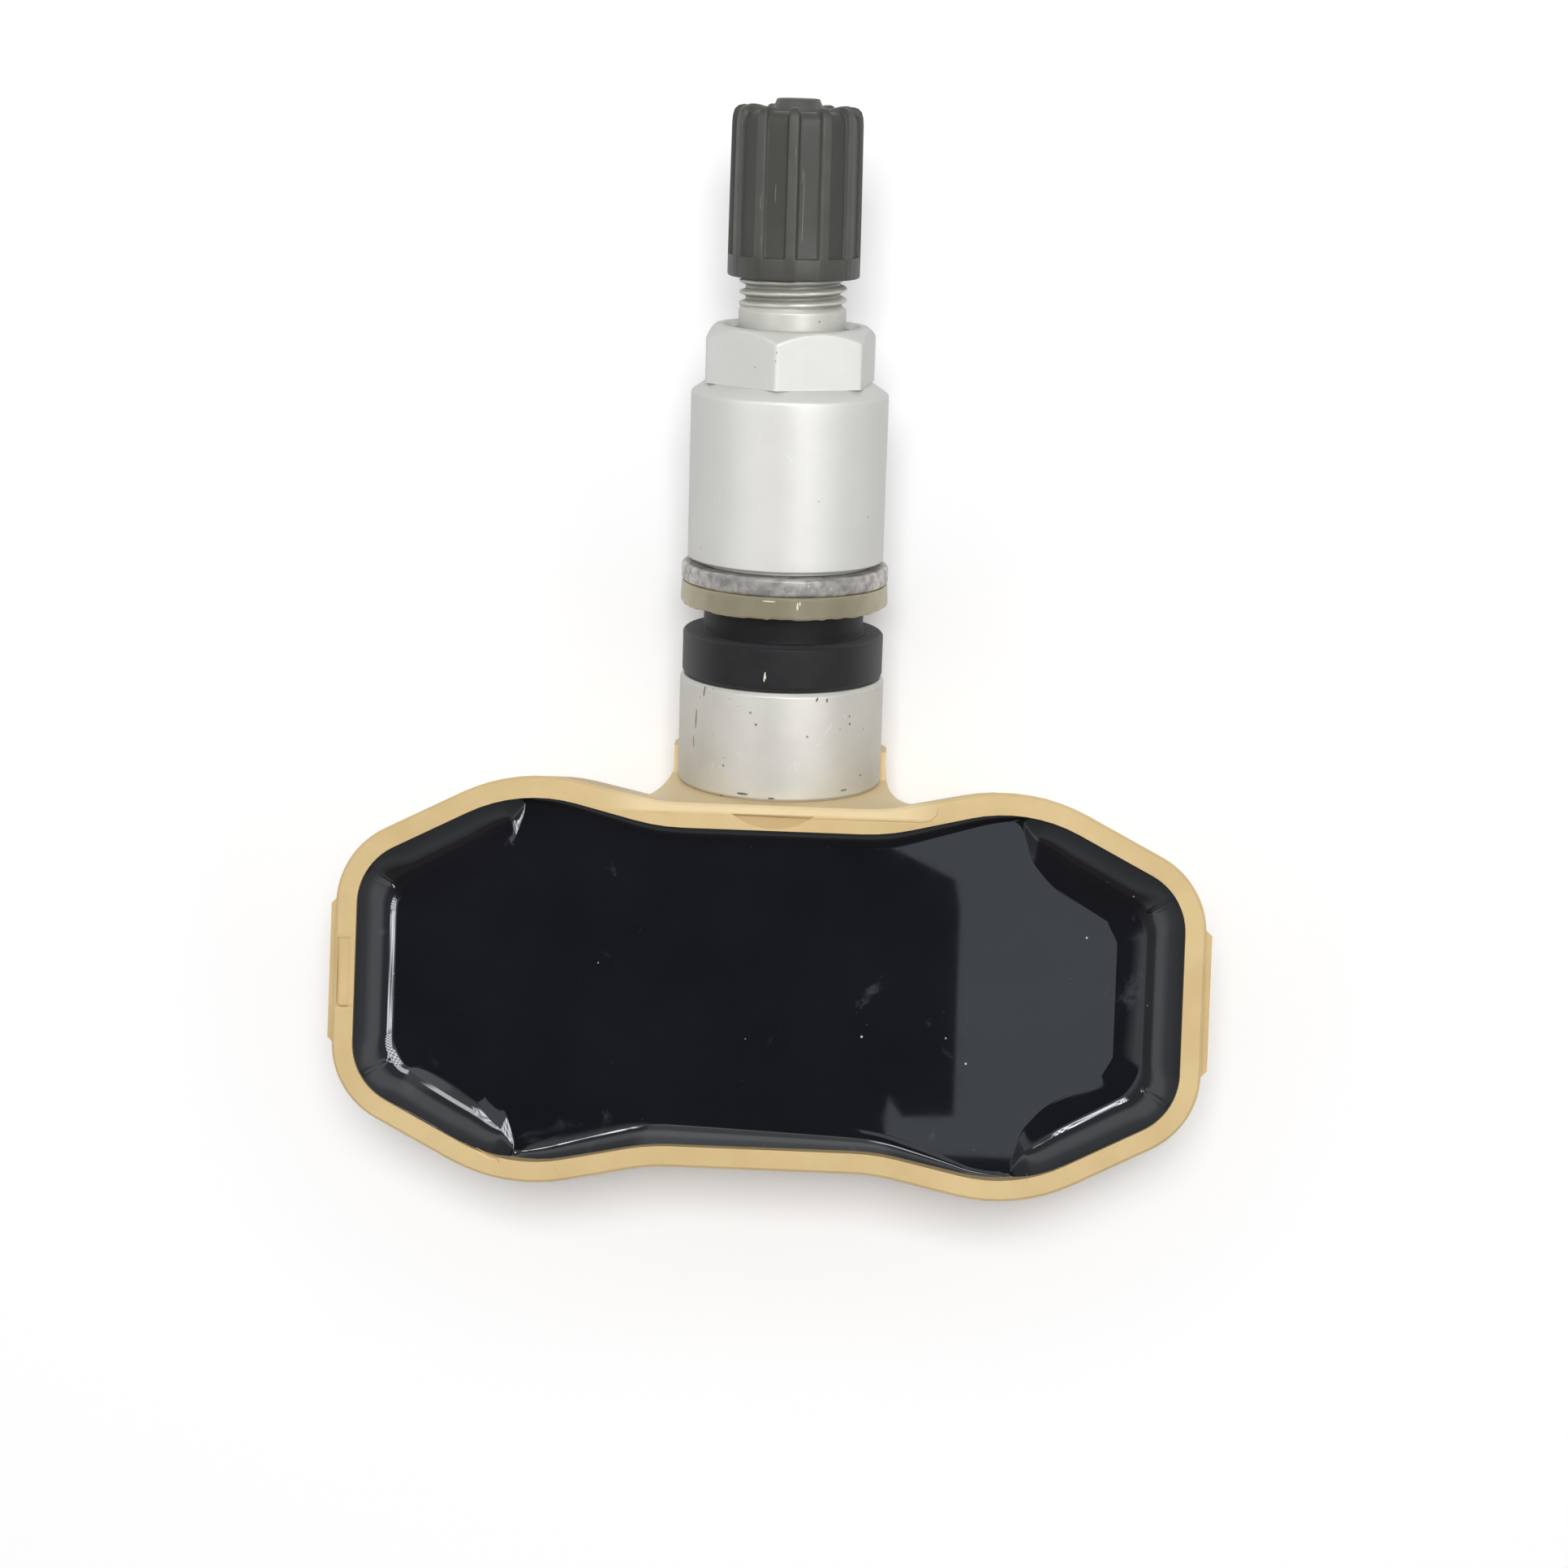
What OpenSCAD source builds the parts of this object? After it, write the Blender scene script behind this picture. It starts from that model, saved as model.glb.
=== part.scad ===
// Clamp-in tyre pressure sensor: a potted electronics housing with a leaning valve stem.
// Millimetres. The housing lies on its flat back: X runs across it, Y towards the valve, Z up out
// of the resin face. The origin is the middle of the back face.

/* [Housing outline] */
// Width across the two end faces
housing_w = 62.4; // [56:0.2:74]
// Height across the waist, between the two lobes
waist_h = 26.2; // [22:0.2:30]
// Height across the lobe corners before they are rounded
lobe_h = 30.6; // [28:0.2:36]
// Height of the end faces before their corners are rounded
end_h = 17.5; // [14:0.1:20]
// Distance from the middle to where the waist starts to rise
waist_x = 8; // [6:0.1:9]
// Distance from the middle to a lobe corner
lobe_x = 18.4; // [16:0.1:22]
// Radius of the hollow curve beside the waist
waist_r = 13.5; // [8:0.5:16]
// Radius of the lobes
lobe_r = 12.8; // [8:0.1:14]
// Radius of the four end corners
end_r = 6.1; // [4:0.1:7]

/* [Housing shell] */
// Depth from the back face to the rim
housing_d = 18; // [16.5:0.1:22]
// Thickness of the rim and side walls
wall = 1.5; // [1.3:0.05:2]
// Thickness of the back wall
floor_t = 1.6; // [1.3:0.05:2]
// Draft of the outside, in degrees
draft_out = 1.5; // [0.5:0.1:2.5]
// Draft of the cavity, in degrees
draft_in = 0.75; // [0.25:0.05:1.5]
// Radius of the back edge
back_r = 2.2; // [1.5:0.1:3]
// Bevel on the rim's outer edge
rim_bevel = 0.2; // [0.1:0.05:0.3]
// Fillet between the cavity's wall and floor
floor_fillet = 0.8; // [0.4:0.1:1.2]

/* [Housing details] */
// Length of the moulded rib on each end face
tab_len = 10.8; // [8:0.1:12.5]
// How far each end rib stands out past the rim
tab_out = 0.55; // [0.4:0.05:0.8]
// Distance from the rim down to the top of an end rib
tab_drop = 1.5; // [1:0.1:2]
// Height of an end rib along the housing's depth
tab_h = 9; // [7:0.5:11]
// Width of the sunk mark on the left rim
mark_w = 0.9; // [0.7:0.05:1.1]
// Length of the sunk mark on the left rim
mark_len = 5; // [4:0.1:6]
// Depth of the marks sunk into the rim
mark_depth = 0.15; // [0.1:0.05:0.25]
// Radius of the half-moon mark beside the valve
moon_r = 4.8; // [4:0.1:6.8]
// How far the half-moon mark reaches across the rim
moon_reach = 1; // [0.6:0.05:1.1]

/* [Valve seat] */
// Lean of the valve stem up from the housing's back face, in degrees
stem_tilt = 12; // [8:0.5:15]
// Height of the stem's axis above the back face, at the seat
stem_z = 8.6; // [8.4:0.1:9.8]
// Step from the waist's outer edge back to the seat, at the rim
seat_set = 0.3; // [0.1:0.05:0.4]
// Extra thickness of the wall behind the seat
seat_pad = 0.3; // [0.1:0.05:0.5]
// Half width of the block behind the seat
seat_hw = 8.1; // [7.8:0.1:8.8]
// Radius of the curve from the block into the side walls
seat_fillet = 2; // [1:0.1:2.4]
// Wall of the cradle behind the stem's base
cradle_t = 0.8; // [0.6:0.05:1.1]
// Height of the cradle above the seat
cradle_h = 2.1; // [1.6:0.1:2.8]
// Distance that the cradle's ends stop short of the stem's axis
cradle_drop = 1; // [0.4:0.1:3]

/* [Resin] */
// Distance from the rim down to the resin's edge at the wall
resin_edge = 0.35; // [0.2:0.05:0.5]
// Distance from the rim down to the level middle of the resin
resin_level = 1.3; // [1.1:0.05:2]
// Width over which the resin climbs the wall
resin_climb = 2.6; // [2:0.1:3.2]

/* [Valve stem] */
// Diameter of the stem's base
base_d = 15; // [13.5:0.1:15.2]
// Length of the stem's base
base_len = 8; // [7:0.1:9.5]
// Length of the whole stem above the seat
stem_len = 47.15; // [46:0.05:52]
// Diameter of the plain shank inside the rubber seal
shank_d = 8.8; // [7.8:0.1:9]
// Outer diameter of the thread that takes the nut
nut_thread_d = 9.9; // [9.2:0.1:10]
// Pitch of the thread that takes the nut
nut_pitch = 1; // [0.75:0.05:1.25]
// Outer diameter of the valve's mouth thread, and of the plain land below it
tip_d = 7.75; // [7:0.05:8]
// Pitch of the valve's mouth thread
tip_pitch = 0.794; // [0.7:0.001:0.95]
// Length of the mouth thread
tip_thread_len = 12.45; // [11:0.05:13.2]
// Diameter of the air passage
passage_d = 2.6; // [2.2:0.1:3]
// Diameter of the cross hole at the back of the base
port_d = 2.4; // [2:0.1:2.8]
// Height of the cross hole above the seat
port_s = 5; // [4.4:0.1:6]
// Diameter of the root flange moulded into the housing
root_d = 8; // [7:0.1:8.6]
// Diameter of the neck between the root flange and the base
root_neck_d = 6; // [5:0.1:6.6]
// Depth of the root below the seat
root_len = 2.1; // [1.8:0.05:2.4]

/* [Rubber seal and washers] */
// Diameter of the seal's flange
flange_d = 14.7; // [13.5:0.1:15.2]
// Thickness of the seal's flange
flange_t = 3.3; // [2.8:0.1:3.8]
// Diameter of the seal's neck, which fills the wheel's valve hole
neck_d = 11.7; // [10.8:0.1:12.2]
// Length of the seal's neck above its flange
neck_len = 3.7; // [3.1:0.05:4]
// Width of the nylon washer's ring, from the seal's neck out
nylon_w = 1.75; // [1.4:0.05:2.2]
// Thickness of the nylon washer
nylon_t = 1.65; // [1.2:0.05:1.8]
// How far the metal washer reaches out past the seal's neck
washer_w = 1.7; // [1.3:0.05:2.3]
// Hole in the metal washer
washer_hole_d = 10.3; // [10.1:0.1:10.7]
// Thickness of the metal washer
washer_t = 1.35; // [1.1:0.05:1.7]

/* [Nut] */
// Diameter of the nut's sleeve
sleeve_d = 14.3; // [13.6:0.1:15]
// Length of the sleeve, up to its bevel
sleeve_len = 12.4; // [11:0.1:13]
// Height of the bevel on top of the sleeve
sleeve_bevel = 0.75; // [0.6:0.05:1.3]
// Width of the bevel on top of the sleeve
sleeve_bevel_w = 1.1; // [0.8:0.05:1.4]
// Hexagon across flats
hex_af = 11.35; // [11:0.05:12]
// Height of the hexagon above the sleeve
hex_h = 4.1; // [3.6:0.05:4.4]
// Slope of the crown that rounds the hexagon's corners, in degrees
hex_crown = 38; // [25:1:45]
// Diameter of the opening in the top of the hexagon
nut_mouth_d = 9.05; // [8.6:0.05:9.4]
// Relief between the sleeve's edge and the washer
lip_relief = 0.3; // [0.2:0.05:0.4]
// Turn of the hexagon about the stem, in degrees
hex_turn = 22.7; // [0:0.1:60]

/* [Cap] */
// Diameter of the cap over the foot of its ribs
cap_d = 9.5; // [9.2:0.05:10.4]
// How much narrower the cap is at its top than at its foot
cap_taper = 0.2; // [0.1:0.05:0.5]
// Depth of the cap's hole
cap_depth = 10.75; // [10.4:0.05:11.4]
// Thickness of the cap's end wall
cap_end_t = 1.25; // [0.9:0.05:1.5]
// Number of grip ribs
rib_count = 12; // [8:1:16]
// Width of one grip rib
rib_w = 0.85; // [0.6:0.05:1.1]
// Height of the ribs above the grooves between them
rib_h = 0.34; // [0.2:0.02:0.4]
// Height of the plain skirt at the cap's mouth
skirt_h = 1.55; // [0.9:0.05:2]
// Diameter of the boss on top of the cap, at its foot
boss_d = 3.7; // [3:0.1:4.4]
// Height of the boss
boss_h = 0.5; // [0.4:0.05:0.9]
// Thickness of the sealing disc inside the cap
cap_seal_t = 0.65; // [0.5:0.05:0.8]

/* [Valve core] */
// Diameter of the hole that holds the valve core
chamber_d = 5.1; // [4.8:0.05:5.4]
// Diameter of the hole below the core's gasket
well_d = 3.8; // [3.5:0.05:4.1]
// Length of the core's threaded head
core_head_len = 2.8; // [2.3:0.1:3.2]
// Depth of the core's head below the stem's mouth
core_set = 0.5; // [0.3:0.05:0.7]
// Length of the core's barrel below its head
core_barrel_len = 6; // [5.5:0.1:6.4]
// Diameter of the core's barrel
core_barrel_d = 3.3; // [3.1:0.05:3.4]
// Diameter of the pin
pin_d = 0.9; // [0.8:0.05:1]
// Distance from the stem's mouth down to the tip of the pin
pin_set = 0.15; // [0.1:0.05:0.3]
// Wire diameter of the core's spring
wire_d = 0.3; // [0.25:0.05:0.35]
// Number of turns in the core's spring
spring_turns = 6; // [4:1:7]

/* [Electronics] */
// Diameter of the battery
battery_d = 20; // [18:0.5:20.5]
// Thickness of the battery
battery_h = 5; // [4:0.1:5.2]
// Thickness of the circuit board
board_t = 1.2; // [1:0.1:1.6]
// Gap between the board's edge and the cavity's wall
board_gap = 0.25; // [0.15:0.05:0.4]
// Height of the posts that carry the board
post_h = 4.3; // [3.8:0.1:4.6]
// Diameter of the posts that carry the board
post_d = 2.4; // [2:0.1:3]
// Diameter of the pressure port in the back wall
vent_d = 1.8; // [1.4:0.1:2.2]
// Diameter of the filter disc in the port
filter_d = 3.4; // [3:0.1:3.8]
// Thickness of the filter disc
filter_t = 0.4; // [0.3:0.05:0.5]
// Side of the pressure sensor's package
sensor_w = 8; // [7:0.1:8.6]
// Thickness of the pressure sensor's package
sensor_t = 2.6; // [2.2:0.1:3]
// Outer diameter of the seal around the pressure port
seal_d = 6.4; // [6:0.1:7]
// Distance from the battery's edge to the middle of the pressure port
port_gap = 7.5; // [7:0.1:8.5]
// Width of the transmitter chip
chip_w = 6.5; // [5:0.1:7]
// Thickness of the chips
chip_t = 1.3; // [0.9:0.1:1.6]
// Gap between neighbouring parts on the board
part_gap = 1.15; // [0.8:0.05:1.5]
// Length of the wake-up coil
coil_len = 8; // [6:0.1:8.5]
// Width of the wake-up coil
coil_w = 3; // [2.5:0.1:3.4]
// Length of one capacitor
capacitor_len = 2; // [1.6:0.1:2.2]
// Distance from the end of the cavity to the antenna
antenna_inset = 5.5; // [5:0.1:7]
// Height of the antenna above the board
antenna_h = 6; // [5:0.1:6.4]
// Thickness of the metal strips
strip_t = 0.2; // [0.15:0.05:0.3]

/* [Hidden] */
$fn = 72;

// Clearances: a running fit, a seated face, and an overshoot for cuts.
run_gap = 0.05;
face_gap = 0.02;
over = 1;

// Where things lie along the depth of the housing.
board_z = floor_t + post_h;
board_top = board_z + board_t;

// Where things lie along the stem, measured from its seat.
seat_y = waist_h / 2 - seat_set + (housing_d - stem_z) * tan(stem_tilt);
flange_s = base_len;
neck_s = flange_s + flange_t;
neck_top_s = neck_s + neck_len;
nut_s = neck_top_s + washer_t + face_gap;
sleeve_top_s = nut_s + sleeve_len;
hex_s = sleeve_top_s + sleeve_bevel;
nut_top_s = hex_s + hex_h;
tip_thread_s = stem_len - tip_thread_len;
cap_s = stem_len + face_gap + cap_seal_t - cap_depth;
cap_len = cap_depth + cap_end_t;
cap_bore_r = tip_d / 2 + run_gap;

// The nut's thread starts above the washer and ends below the hexagon's opening.
nut_thread_s = neck_top_s + washer_t / 2;
nut_thread_end_s = sleeve_top_s - 0.3;
nut_bore_d = nut_thread_d + 2 * run_gap;

// The valve core, from the stem's mouth down.
core_top_s = stem_len - core_set;
core_head_s = core_top_s - core_head_len;
core_foot_s = core_head_s - core_barrel_len;
gasket_len = 1.8;
gasket_cone_h = 0.8;
gasket_s = core_head_s - 1 - gasket_len;
spring_bore_d = 2.4;
spring_seat_s = core_foot_s + 1;
pin_hole_d = pin_d + 0.5;
pin_collar_t = 0.5;
pin_collar_s = core_top_s - 1.4;
plunger_t = 0.8;
plunger_d = 2.9;
plunger_travel = 1;
well_s = core_foot_s - plunger_t - plunger_travel - 0.6;

// The electronics, set out from the two ends of the cavity.
cavity_x = housing_w / 2 - wall;
battery_x = -(cavity_x - 3 * part_gap - battery_d / 2);
battery_z = board_top + strip_t;
antenna_x = cavity_x - antenna_inset;
vent_x = battery_x + battery_d / 2 + port_gap;
chip_size = [chip_w, 0.8 * chip_w, chip_t];
chip_at = [vent_x, chip_w / 2 + part_gap];
motion_size = [0.6 * chip_w, 0.6 * chip_w, chip_t];
motion_at = [chip_at.x + (chip_size.x + motion_size.x) / 2 + part_gap, chip_at.y];
crystal_size = [0.75 * chip_w, chip_w / 2, chip_t];
crystal_at = [vent_x, chip_at.y - (chip_size.y + crystal_size.y) / 2 - part_gap];
coil_size = [coil_w, coil_len, coil_w];
coil_at = [motion_at.x, motion_at.y - (motion_size.y + coil_len) / 2 - part_gap];
capacitor_size = [0.6 * capacitor_len, capacitor_len, 0.45 * capacitor_len];
capacitor_pitch = capacitor_size.x + part_gap;
capacitor_at = [
  vent_x - 1.5 * capacitor_pitch,
  crystal_at.y - (crystal_size.y + capacitor_len) / 2 - part_gap
];

// Outlines as corner points, anticlockwise from the right end. Each corner is its x, its y, its
// radius and the number of steps that its arc is drawn in. A quarter of the housing's outline has
// three corners; the cavity stands further in behind the seat, so it has a list of its own.
function quarter(waist_half) = [
  [housing_w / 2, end_h / 2, end_r, 13],
  [lobe_x, lobe_h / 2, lobe_r, 8],
  [waist_x, waist_half, waist_r, 3]
];
function turned_over(q, side_x, side_y) = [side_x * q[0], side_y * q[1], q[2], q[3]];
function all_round(top, bottom) = [
  for (q = top) q,
  for (q = reverse(top)) turned_over(q, -1, 1),
  for (q = bottom) turned_over(q, -1, -1),
  for (q = reverse(bottom)) turned_over(q, 1, -1)
];
function reverse(list) = [for (i = [len(list) - 1:-1:0]) list[i]];
corners = all_round(quarter(waist_h / 2), quarter(waist_h / 2));
cavity_corners = all_round(quarter(waist_h / 2 - seat_pad), quarter(waist_h / 2));

// A closed outline with round corners, moved inwards by inset. Each corner keeps its own centre
// and its number of points, so outlines at different insets match point for point.
function outline(inset, points = corners, smallest_r = 0.05) =
  let (n = len(points))
  [
    for (i = [0:n - 1])
      let (
        before = points[(i + n - 1) % n], here = points[i], after = points[(i + 1) % n],
        in_dir = unit([here.x - before.x, here.y - before.y]),
        out_dir = unit([after.x - here.x, after.y - here.y]),
        turn = atan2(in_dir.x * out_dir.y - in_dir.y * out_dir.x, in_dir * out_dir),
        side = turn > 0 ? 1 : -1,
        r = max(here.z - side * inset, smallest_r),
        start = atan2(-in_dir.x, in_dir.y),
        middle = start + turn / 2,
        back = (side * r + inset) / cos(turn / 2),
        centre = [here.x, here.y] - back * [cos(middle), sin(middle)]
      )
      for (k = [0:here[3]])
        let (a = start + turn * k / here[3])
        centre + side * r * [cos(a), sin(a)]
  ];

function unit(v) = v / norm(v);

// Insets of the outer and inner wall at a height z.
function outer_inset(z) = (housing_d - z) * tan(draft_out);
function inner_inset(z) = wall + (housing_d - z) * tan(draft_in);

// A closed skin through a stack of outlines of the same corners, each given as [inset, z]. Each
// end is a fan about the hub.
module skin(stack, points = corners, hub = [0, 0]) {
  n = len(outline(0, points));
  rings = len(stack);
  last = (rings - 1) * n;
  skin_points = [
    for (s = stack) for (p = outline(s[0], points)) [p.x, p.y, s[1]],
    for (s = [stack[0], stack[rings - 1]]) [hub.x, hub.y, s[1]]
  ];
  skin_faces = [
    for (j = [0:rings - 2]) for (i = [0:n - 1])
      let (a = j * n + i, b = j * n + (i + 1) % n)
      each [[a, a + n, b], [b, a + n, b + n]],
    for (i = [0:n - 1])
      let (b = (i + 1) % n)
      each [[last + n, i, b], [last + n + 1, last + b, last + i]]
  ];
  polyhedron(skin_points, skin_faces, convexity = 6);
}

// Puts children on the stem: their Z runs along it from the seat, and their +Y faces the back.
module on_stem(s = 0) {
  translate([0, seat_y, stem_z])
    rotate([stem_tilt - 90, 0, 0])
      translate([0, 0, s])
        children();
}

// A turned solid from a profile of [radius, height] points.
module turned(profile) {
  rotate_extrude()
    polygon(profile);
}

// Points down the side of an external thread drawn as V grooves, from its top to its foot.
function thread_side(d, pitch, top, foot) =
  let (
    depth = 0.6 * pitch,
    grooves = floor((top - foot) / pitch)
  )
  [
    for (i = [0:grooves - 1])
      let (z = top - i * pitch)
      each [
        [d / 2, z],
        [d / 2, z - 0.12 * pitch],
        [d / 2 - depth, z - 0.5 * pitch],
        [d / 2 - depth, z - 0.62 * pitch]
      ],
    [d / 2, top - grooves * pitch]
  ];

// Housing
back_steps = 5;
shell_stack = [
  for (i = [0:back_steps])
    let (a = 90 * i / back_steps)
    [outer_inset(back_r) + back_r * (1 - sin(a)), back_r * (1 - cos(a))],
  [outer_inset(housing_d - rim_bevel), housing_d - rim_bevel],
  [rim_bevel, housing_d]
];
cavity_stack = [
  [inner_inset(floor_t + floor_fillet) + floor_fillet, floor_t],
  [inner_inset(floor_t + floor_fillet) + 0.3 * floor_fillet, floor_t + 0.3 * floor_fillet],
  [inner_inset(floor_t + floor_fillet), floor_t + floor_fillet],
  [inner_inset(housing_d + over), housing_d + over]
];

// Block that carries the seat: it has the same back edge as the shell, hollow curves into the side
// walls, and an end cut square to the stem.
seat_foot_y = seat_y + stem_z * tan(stem_tilt);
seat_far_y = seat_foot_y + 4 * back_r;
seat_wing_x = seat_hw + seat_fillet + 2 * back_r;
seat_wing_y = waist_h / 2 + 0.2;
hidden_r = back_r + 1;
seat_corners = [
  [seat_hw, seat_wing_y, seat_fillet, 15],
  [seat_hw, seat_far_y, hidden_r, 3],
  [-seat_hw, seat_far_y, hidden_r, 3],
  [-seat_hw, seat_wing_y, seat_fillet, 15],
  [-seat_wing_x, seat_wing_y, hidden_r, 3],
  [-seat_wing_x, 0, hidden_r, 3],
  [seat_wing_x, 0, hidden_r, 3],
  [seat_wing_x, seat_wing_y, hidden_r, 3]
];
seat_stack = [
  for (i = [0:back_steps])
    let (a = 90 * i / back_steps)
    [back_r * (1 - sin(a)) + (housing_d - back_r) * tan(draft_in), back_r * (1 - cos(a))],
  [0, housing_d - 0.5]
];

module seat_block() {
  reach = 4 * seat_hw;
  foot_bevel = 0.8;
  root_y = waist_h / 2 - wall / 2;
  in_floor = floor_t - 0.1;
  difference() {
    intersection() {
      skin(seat_stack, seat_corners, [0, seat_wing_y / 2]);
      rotate([90, 0, 90])
        linear_extrude(height = 2 * (seat_hw + seat_fillet + 0.3), center = true)
          polygon([
            [0, -over], [seat_far_y + over, -over], [seat_far_y + over, housing_d + over],
            [root_y, housing_d + over], [root_y, in_floor + floor_fillet / 2],
            [root_y - floor_fillet - wall / 2, in_floor], [0, in_floor]
          ]);
    }
    on_stem()
      translate([-reach / 2, -reach / 2, 0])
        cube([reach, reach, reach]);
    translate([0, seat_foot_y - foot_bevel, 0])
      rotate([45, 0, 0])
        translate([-reach / 2, 0, -reach])
          cube([reach, reach, reach]);
  }
}

// Low wall around the back of the stem's base, with flat cheeks.
module cradle() {
  outer_r = base_d / 2 + face_gap + cradle_t;
  cheek = seat_hw - 0.2;
  on_stem(-over)
    linear_extrude(height = cradle_h + over)
      intersection() {
        circle(r = outer_r);
        translate([-cheek, cradle_drop])
          square([2 * cheek, outer_r]);
      }
}

module end_tab(side) {
  top = housing_d - tab_drop;
  x_in = housing_w / 2 - wall;
  x_rim = housing_w / 2;
  x_out = x_rim + tab_out;
  scale([side, 1, 1])
    translate([0, 0, top - tab_h])
      linear_extrude(height = tab_h)
        polygon([
          [x_in + 0.3, -tab_len / 2],
          [x_rim, -tab_len / 2],
          [x_out, -tab_len / 2 + tab_out],
          [x_out, tab_len / 2 - tab_out],
          [x_rim, tab_len / 2],
          [x_in + 0.3, tab_len / 2]
        ]);
}

module board_posts() {
  end_post = [cavity_x - 1.25 * post_d, end_h / 2 - 1.5 * post_d];
  waist_post = [waist_x, waist_h / 2 - wall - seat_pad - 0.8 * post_d];
  for (sx = [-1, 1], p = [end_post, waist_post], sy = [-1, 1])
    translate([sx * p.x, sy * p.y, floor_t - 0.5])
      cylinder(d = post_d, h = post_h + 0.5);
}

// The two shallow marks that the mould leaves on the rim.
module rim_marks() {
  rim_mid_x = (housing_w - wall) / 2;
  translate([-rim_mid_x - mark_w / 2 - 0.05, -mark_len / 2, housing_d - mark_depth])
    cube([mark_w, mark_len, over]);
  moon_top = waist_h / 2 - 0.68;
  intersection() {
    translate([0, moon_top - moon_reach + moon_r, housing_d - mark_depth])
      cylinder(r = moon_r, h = over);
    translate([-moon_r, moon_top - 2 * moon_reach, housing_d - over])
      cube([2 * moon_r, 2 * moon_reach, 3 * over]);
  }
}

module housing() {
  color([0.90, 0.80, 0.58])
    union() {
      difference() {
        union() {
          skin(shell_stack);
          seat_block();
          cradle();
          for (side = [-1, 1])
            end_tab(side);
        }
        skin(cavity_stack, cavity_corners);
        on_stem() turned(concat(root_side(face_gap), [[root_neck_d / 2, 0.1], [0, 0.1]]));
        on_stem() cylinder(d = base_d + 2 * face_gap, h = cradle_h + 2 * over);
        translate([vent_x, 0, -over])
          cylinder(d = vent_d, h = floor_t + 2 * over);
        translate([vent_x, 0, floor_t - filter_t])
          cylinder(d = filter_d, h = 2 * filter_t);
        rim_marks();
      }
      board_posts();
    }
}

// Resin: fills the cavity above the board and climbs its wall. What stands on the board is cut out
// of it with each shape sunk a little further down than it really goes.
climb_steps = 6;
function climb(share) = pow(1 - share, 2.4);
resin_stack = [
  [inner_inset(board_top), board_top],
  [inner_inset(housing_d - resin_edge), housing_d - resin_edge],
  for (i = [1:climb_steps])
    let (share = i / climb_steps)
    [
      inner_inset(housing_d - resin_edge) + resin_climb * share,
      housing_d - resin_level + (resin_level - resin_edge) * climb(share)
    ]
];

module resin() {
  color([0.03, 0.03, 0.035])
    difference() {
      skin(resin_stack, cavity_corners);
      battery_shape();
      translate([battery_x, 0, board_top - over])
        cylinder(d = battery_d, h = over + strip_t + battery_step);
      battery_top_strip_shape(over);
      transmitter_chip_shape(over);
      motion_chip_shape(over);
      crystal_shape(over);
      wake_up_coil_shape(over);
      capacitor_shapes(over);
      antenna_shape(over);
    }
}

// Electronics
module circuit_board() {
  color([0.08, 0.35, 0.18])
    translate([0, 0, board_z])
      linear_extrude(height = board_t)
        polygon(outline(inner_inset(board_z) + board_gap, cavity_corners));
}

battery_step = 0.3;
module battery_shape() {
  r = battery_d / 2;
  lip = 1.2;
  round_off = 0.4;
  translate([battery_x, 0, battery_z])
    turned([
      [0, 0], [r - lip, 0], [r - lip, battery_step], [r, battery_step],
      [r, battery_h - round_off], [r - round_off, battery_h], [0, battery_h]
    ]);
}

module battery() {
  color([0.75, 0.76, 0.77]) battery_shape();
}

strip_w = 4;
module battery_top_strip_shape(sink = 0) {
  top = battery_z + battery_h;
  leg_x = battery_x + battery_d / 2 + 0.6;
  translate([battery_x, -strip_w / 2, top])
    cube([leg_x - battery_x + strip_t, strip_w, strip_t]);
  translate([leg_x, -strip_w / 2, board_top - sink])
    cube([strip_t, strip_w, top - board_top + strip_t + sink]);
}

module battery_top_strip() {
  color([0.80, 0.78, 0.72]) battery_top_strip_shape();
}

module battery_bottom_strip() {
  color([0.80, 0.78, 0.72])
    translate([battery_x - battery_d / 4, -strip_w / 2, board_top])
      cube([battery_d / 2, strip_w, strip_t]);
}

module pressure_sensor() {
  color([0.12, 0.12, 0.13])
    translate([vent_x, 0, board_z - sensor_t])
      difference() {
        translate([-sensor_w / 2, -sensor_w / 2, 0])
          cube([sensor_w, sensor_w, sensor_t]);
        translate([0, 0, -over])
          cylinder(d = vent_d, h = over + sensor_t / 2);
      }
}

module port_seal() {
  color([0.55, 0.20, 0.15])
    translate([vent_x, 0, floor_t])
      difference() {
        cylinder(d = seal_d, h = post_h - sensor_t);
        translate([0, 0, -over])
          cylinder(d = filter_d + 0.4, h = post_h + 2 * over);
      }
}

module port_filter() {
  color([0.95, 0.95, 0.92])
    translate([vent_x, 0, floor_t - filter_t])
      cylinder(d = filter_d - 2 * face_gap, h = filter_t);
}

// A block that stands on the board, placed by its middle.
module on_board(middle, size, sink = 0) {
  translate([middle.x - size.x / 2, middle.y - size.y / 2, board_top - sink])
    cube([size.x, size.y, size.z + sink]);
}

module transmitter_chip_shape(sink = 0) {
  on_board(chip_at, chip_size, sink);
}

module transmitter_chip() {
  color([0.10, 0.10, 0.11]) transmitter_chip_shape();
}

module motion_chip_shape(sink = 0) {
  on_board(motion_at, motion_size, sink);
}

module motion_chip() {
  color([0.10, 0.10, 0.11]) motion_chip_shape();
}

module crystal_shape(sink = 0) {
  on_board(crystal_at, crystal_size, sink);
}

module crystal() {
  color([0.78, 0.79, 0.80]) crystal_shape();
}

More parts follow.
